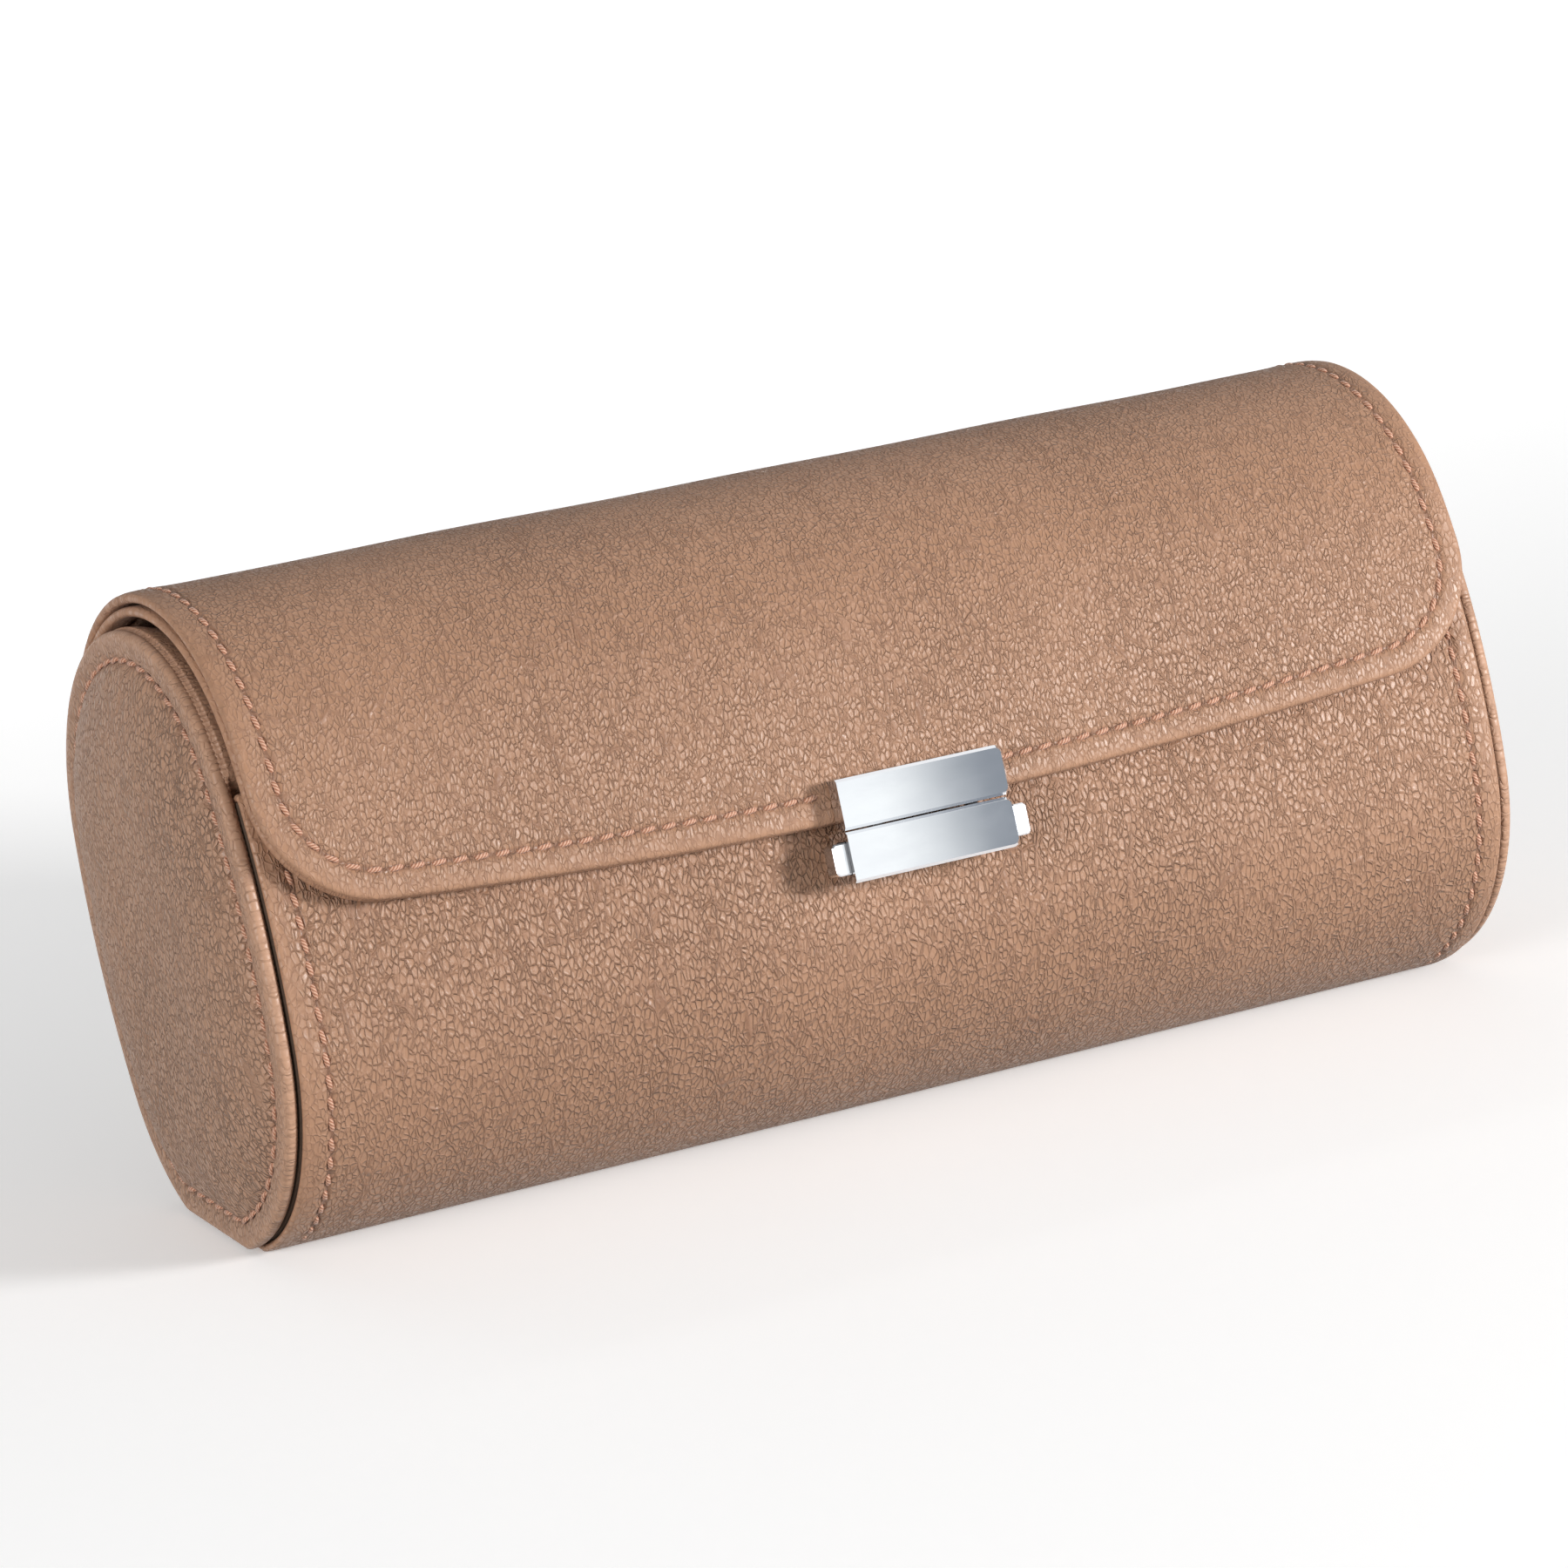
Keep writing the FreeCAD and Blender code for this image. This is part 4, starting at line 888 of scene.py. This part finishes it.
def gusset(name, side):
    """The gathered leather wall between the mouth and the padded end: fine ribs, rising in the
    open mouth and turned up behind the flange over the board's edge."""
    count = GUSSET_POINTS
    share = np.arange(count) / count

    def ring(offset):
        closed, length = measured(oval_ring(offset))
        return np.stack([np.interp(share * length[-1], length, closed[:, k])
                         for k in (0, 1)], 1), length[-1]

    outer, perimeter = ring(-GUSSET_OUTER)
    inner, _ = ring(-GUSSET_INNER)
    outward = outer - inner
    outward /= np.linalg.norm(outward, axis=1)[:, None]
    mouth = np.where(outer[:, 0] < 0, ramp(outer[:, 1], FRONT_EDGE + 0.5, FRONT_EDGE + 4.5),
                     ramp(outer[:, 1], HINGE + 2.0, HINGE + 8.0))
    rng = random.Random(17)
    phase = np.cumsum([rng.uniform(0.7, 1.3) for _ in range(count)])
    phase = phase / phase[-1] * round(perimeter / RIB_PITCH)
    uneven = 0.75 + 0.25 * np.sin(share * 2 * math.pi * 37) * np.sin(share * 2 * math.pi * 11)
    ribs = (0.5 + 0.5 * np.cos(2 * math.pi * phase)) * uneven
    offset, shift = flap_offsets(0.0)
    room = GUSSET_OUTER + offset + shift * (outward[:, 1] - outward[:, 0]) - MOUTH_GAP
    # x from the body's end, height at the wall, share of the mouth's rise, share of the ribs
    profile = [(-12.0, 0.0, 0.0, 0.2), (-8.0, 0.0, 0.3, 0.5), (-5.0, 0.0, 0.65, 0.8),
               (-2.5, 0.0, 0.88, 1.0), (-1.0, 0.0, 0.96, 1.0), (-0.15, 0.0, 1.0, 1.0),
               (0.08, 0.1, 1.0, 1.0), (0.16, 1.5, 0.98, 1.0), (0.24, 2.35, 0.95, 0.8),
               (0.7, 2.5, 0.9, 0.7), (1.38, 2.45, 0.85, 0.5)]
    points = []
    for x, wall, open_share, gathered in profile:
        open_mouth = np.maximum(np.minimum(room, MOUTH_RISE) * open_share, wall)
        rise = wall + (open_mouth - wall) * mouth - RIB_DEPTH * ribs * gathered
        placed = outer + outward * rise[:, None]
        points.append(np.column_stack([np.full(count, side * (HALF + x)), placed]))
    for x in (1.38, -0.5, -6.0, -12.0):
        points.append(np.column_stack([np.full(count, side * (HALF + x)), inner]))
    layers = len(points)
    case = np.vstack(points)
    faces = facing_side(bands(layers, count, closed=True), side)
    obj = new_mesh(name, to_row(case), faces)
    run = np.tile(share * perimeter, layers)
    vector_attribute(obj, "leather_at", np.stack([run, case[:, 0], case[:, 2] * 0], 1) * MM)
    dress(obj, gusset_leather_lightened)
    return obj


for word, side, seed in (("left", -1, 3), ("right", 1, 5)):
    cover = end_cover("end_cover_padded_" + word, side, seed)
    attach(cover, "case")
    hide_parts("end_cover_" + word)
    wall = gusset("end_gusset_gathered_" + word, side)
    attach(wall, "case")
    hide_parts("end_gusset_" + word)

# ---------------------------------------------------------------- springs


def folded_spring(side):
    """The strip spring copied as one closed piece."""
    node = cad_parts["spring_" + side]
    corners = np.array([node.matrix_world @ v.co for v in node.data.vertices])
    obj = new_mesh("spring_folds_" + side, corners, [tuple(f.vertices) for f in node.data.polygons])
    dress(obj, steel)
    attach(obj, "case")
    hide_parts("spring_" + side)
    anchor = corners[np.abs(corners[:, 0]).argmin()]
    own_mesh(obj)


for side in ("left", "right"):
    folded_spring(side)

# ---------------------------------------------------------------- stitches

THREAD_RADIUS = 0.41
THREAD_END = 0.06       # radius of a stitch's tip, at its hole
THREAD_WIDE = 1.15
STITCH_SHOWN = 0.86     # length of a stitch over the spacing
STITCH_LEAN = 0.17
STITCH_ARCH = 0.34      # how high a stitch's middle stands over its place
STITCH_DIP = 0.85       # how far its ends go down from there
SHEET_SINK = 0.42       # depth of the stitch line's place in a sheet and in an end cover
CAP_SINK = 0.48


def stitch_mesh(name, stitches, body):
    """Thread stitches, each a short twisted bead: (middle, along, across, up) in the row frame."""
    sides, rings = 8, 9
    bead = bands(rings, sides) + [tuple(reversed(range(sides))),
                                  tuple(range((rings - 1) * sides, rings * sides))]
    vertices, faces, local = [], [], []
    length = STITCH * STITCH_SHOWN
    for middle, along, across, up in stitches:
        first = len(vertices)
        lean = (along + across * STITCH_LEAN).normalized()
        side = up.cross(lean).normalized()
        for r in range(rings):
            t = -1 + 2 * r / (rings - 1)
            thick = THREAD_RADIUS * (1 - abs(t) ** 3.2) ** 0.5 if abs(t) < 1 else THREAD_END
            rise = STITCH_ARCH - STITCH_DIP * abs(t) ** 3.5
            centre = middle + (lean * (t * length / 2) + up * rise) * MM
            for k in range(sides):
                a = 2 * math.pi * k / sides
                out = side * math.cos(a) * thick * THREAD_WIDE + up * math.sin(a) * thick
                vertices.append(centre + out * MM)
                local.append((t * length / 2, a * THREAD_RADIUS, 0))
        faces += [tuple(first + v for v in face) for face in bead]
    obj = new_mesh(name, vertices, faces)
    vector_attribute(obj, "thread_at", np.array(local) * MM)
    dress(obj, thread)
    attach(obj, body)
    return obj


def seam_stitches(path, outline, sag, keep):
    """Stitches every STITCH along the outline's stitch line, where keep(x, s) allows one."""
    closed, length = measured(outline.ring(STITCH_INSET))
    made = []
    for at in np.arange(STITCH, length[-1] - STITCH / 2, STITCH):
        a, m, b = ([np.interp(at + d, length, closed[:, k]) for k in (0, 1)]
                   for d in (-0.5, 0.0, 0.5))
        if not keep(m[0], m[1]):
            continue
        xs = np.array([a[0], m[0], b[0]])
        ss = np.array([a[1], m[1], b[1]])
        lift = np.full(3, -SHEET_SINK) + (sag(xs, ss) if sag else 0)
        low, centre, high = (Vector(p) for p in path.place(xs, ss, lift))
        above = Vector(path.place(xs[1:2], ss[1:2], lift[1:2] + 1.0)[0])
        up = (above - centre).normalized()
        along = (high - low).normalized()
        made.append((centre, along, up.cross(along).normalized(), up))
    return made


hinge_s = back_path.where(lambda y, z: y > 0 and z > HINGE)
flap_stitches = seam_stitches(back_path, back_outline, flap_sag,
                              lambda x, s: s > hinge_s + 6 and not (
                                  s > back_outline_front - 9 and abs(x) < BAR_HALF + 1.0))
back_stitches = seam_stitches(back_path, back_outline, flap_sag,
                              lambda x, s: STITCH_INSET + 1 < s < hinge_s - 5)
hinge_stitches = seam_stitches(back_path, back_outline, flap_sag,
                               lambda x, s: hinge_s - 5 <= s <= hinge_s + 6)
front_stitches = seam_stitches(front_path, front_outline, front_sag,
                               lambda x, s: 9 < s < front_path.length - STITCH_INSET - 1)
stitch_mesh("flap_stitches", flap_stitches, "flap")
stitch_mesh("back_stitches", back_stitches, "case")
stitch_mesh("front_stitches", front_stitches, "case")
hinge_thread = stitch_mesh("hinge_stitches", hinge_stitches, "case")
hinge_thread.parent = None      # taken off the case body again
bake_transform(hinge_thread)


def cap_stitches(side):
    """Stitches evenly round an end cover's flange."""
    closed, length = measured(oval_ring(-FLANGE_INSET - STITCH_INSET))
    count = round(length[-1] / STITCH)
    made = []
    up = Vector((side, 0, 0))
    x = side * (CAP_START + FLANGE - CAP_SINK)
    for k in range(count):
        at = (k + 1.0) * length[-1] / count
        points = []
        for d in (-0.5, 0.0, 0.5):
            yz = [np.interp((at + d) % length[-1], length, closed[:, i]) for i in (0, 1)]
            points.append(Vector(to_row([[x, yz[0], yz[1]]])[0]))
        along = (points[2] - points[0]).normalized()
        made.append((points[1], along, up.cross(along).normalized(), up))
    return made


for word, side in (("left", -1), ("right", 1)):
    stitch_mesh("end_stitches_" + word, cap_stitches(side), "case")

# ---------------------------------------------------------------- floor, light and camera

FLOOR_GLOW = 0.26     # a little light of its own keeps the floor pale
FLOOR_HALF = 6.0
SKY_STRENGTH = 0.22


def stage_floor():
    h = FLOOR_HALF
    obj = new_mesh("floor", [(-h, -h, 0), (h, -h, 0), (h, h, 0), (-h, h, 0)], [(0, 1, 2, 3)])
    n = Nodes("floor_paper")
    at = n.object_place()
    grain = n.noise(at, 300.0, 2.0)
    tone = n.mix(grain, (0.92, 0.92, 0.92, 1), (0.95, 0.95, 0.95, 1))
    dress(obj, n.finish(Base_Color=tone, Roughness=0.9, Emission_Color=(1.0, 1.0, 1.0, 1.0),
                        Emission_Strength=FLOOR_GLOW))
    obj.visible_diffuse = False    # so that the white floor doesn't light the case from below


def area_light(name, place, aim, size, power, spread=math.pi):
    light = bpy.data.lights.new(name, "AREA")
    light.shape = "RECTANGLE"
    light.size, light.size_y = size
    light.energy = power
    light.spread = spread
    obj = bpy.data.objects.new(name, light)
    obj.location = place
    obj.rotation_euler = (Vector(aim) - Vector(place)).to_track_quat("-Z", "Y").to_euler()
    obj.visible_camera = False
    bpy.context.scene.collection.objects.link(obj)


def reflector_card(name, place, half, dark, light, low, high):
    """A graded card that only reflections see: dark where its x is below low, light above."""
    obj = new_mesh(name, [(-half, -half, 0), (half, -half, 0), (half, half, 0), (-half, half, 0)],
                   [(0, 1, 2, 3)])
    place, aim = Vector(place), Vector((0.0, -0.048, 0.06))
    obj.location = place
    obj.rotation_euler = (aim - place).to_track_quat("Z", "Y").to_euler()
    n = Nodes(name)
    parts = n.add("ShaderNodeSeparateXYZ")
    n.link(n.object_place(), parts.inputs[0])
    tone = n.mix(n.span(parts.outputs[0], low, high), dark, light)
    glow = n.add("ShaderNodeEmission")
    n.link(tone, glow.inputs[0])
    n.link(glow.outputs[0], n.output.inputs[0])
    dress(obj, n.material)
    for kind in ("camera", "diffuse", "transmission", "volume_scatter", "shadow"):
        setattr(obj, "visible_" + kind, False)


def studio():
    world = bpy.data.worlds.new("studio")
    world.use_nodes = True
    sky = world.node_tree.nodes["Background"]
    sky.inputs[0].default_value = (1.0, 1.0, 1.0, 1)
    sky.inputs[1].default_value = SKY_STRENGTH
    bpy.context.scene.world = world
    bpy.context.scene.view_settings.view_transform = "Standard"
    middle = (0.0, 0.0, 0.05)
    area_light("key", (0.88, -0.88, 0.36), middle, (0.30, 0.30), 17.2)
    area_light("fill", (-1.1, -0.6, 0.35), middle, (0.6, 0.6), 9.0)
    area_light("rim", (-0.5, 0.9, 0.7), middle, (0.8, 0.4), 0.5)
    area_light("floor_light", (0.90, 1.76, 1.5), (0.90, 1.77, 0.0), (3.4, 1.6), 52.0,
               spread=math.radians(84))
    reflector_card("front_card", (0.228, -0.482, 0.172), 0.24, (0.30, 0.33, 0.37, 1),
                   (1.12, 1.15, 1.15, 1), -0.022, 0.010)
    reflector_card("top_card", (0.40, 0.20, 0.80), 0.30, (0.95, 0.95, 0.95, 1),
                   (1.1, 1.1, 1.1, 1), -0.3, 0.3)


AZIMUTH = math.radians(27.16)
ELEVATION = math.radians(15.66)
ROLL = math.radians(-4.58)
CAMERA_DISTANCE = 1.1654
CAMERA_HEIGHT = 0.0584          # height of the point it looks at
SENSOR = 36.0
LENS = 150.0
SHIFT = (-0.0199444, -0.0066667)    # shares of the picture's width


def camera():
    """The photo's viewpoint, with its small shift and tilt."""
    a, e = AZIMUTH, ELEVATION
    back = Vector((-math.sin(a) * math.cos(e), -math.cos(a) * math.cos(e), math.sin(e)))
    right = Vector((math.cos(a), -math.sin(a), 0))
    up = back.cross(right)
    turned = right * math.cos(ROLL) + up * math.sin(ROLL)
    upward = up * math.cos(ROLL) - right * math.sin(ROLL)
    data = bpy.data.cameras.new("camera")
    data.sensor_width = SENSOR
    data.lens = LENS
    data.shift_x, data.shift_y = SHIFT
    data.clip_end = 20.0
    obj = bpy.data.objects.new("camera", data)
    spin = Matrix((turned, upward, back)).transposed().to_4x4()
    place = Vector((0, 0, CAMERA_HEIGHT)) + back * CAMERA_DISTANCE
    obj.matrix_world = Matrix.Translation(place) @ spin
    bpy.context.scene.collection.objects.link(obj)
    bpy.context.scene.camera = obj


stage_floor()
studio()
camera()
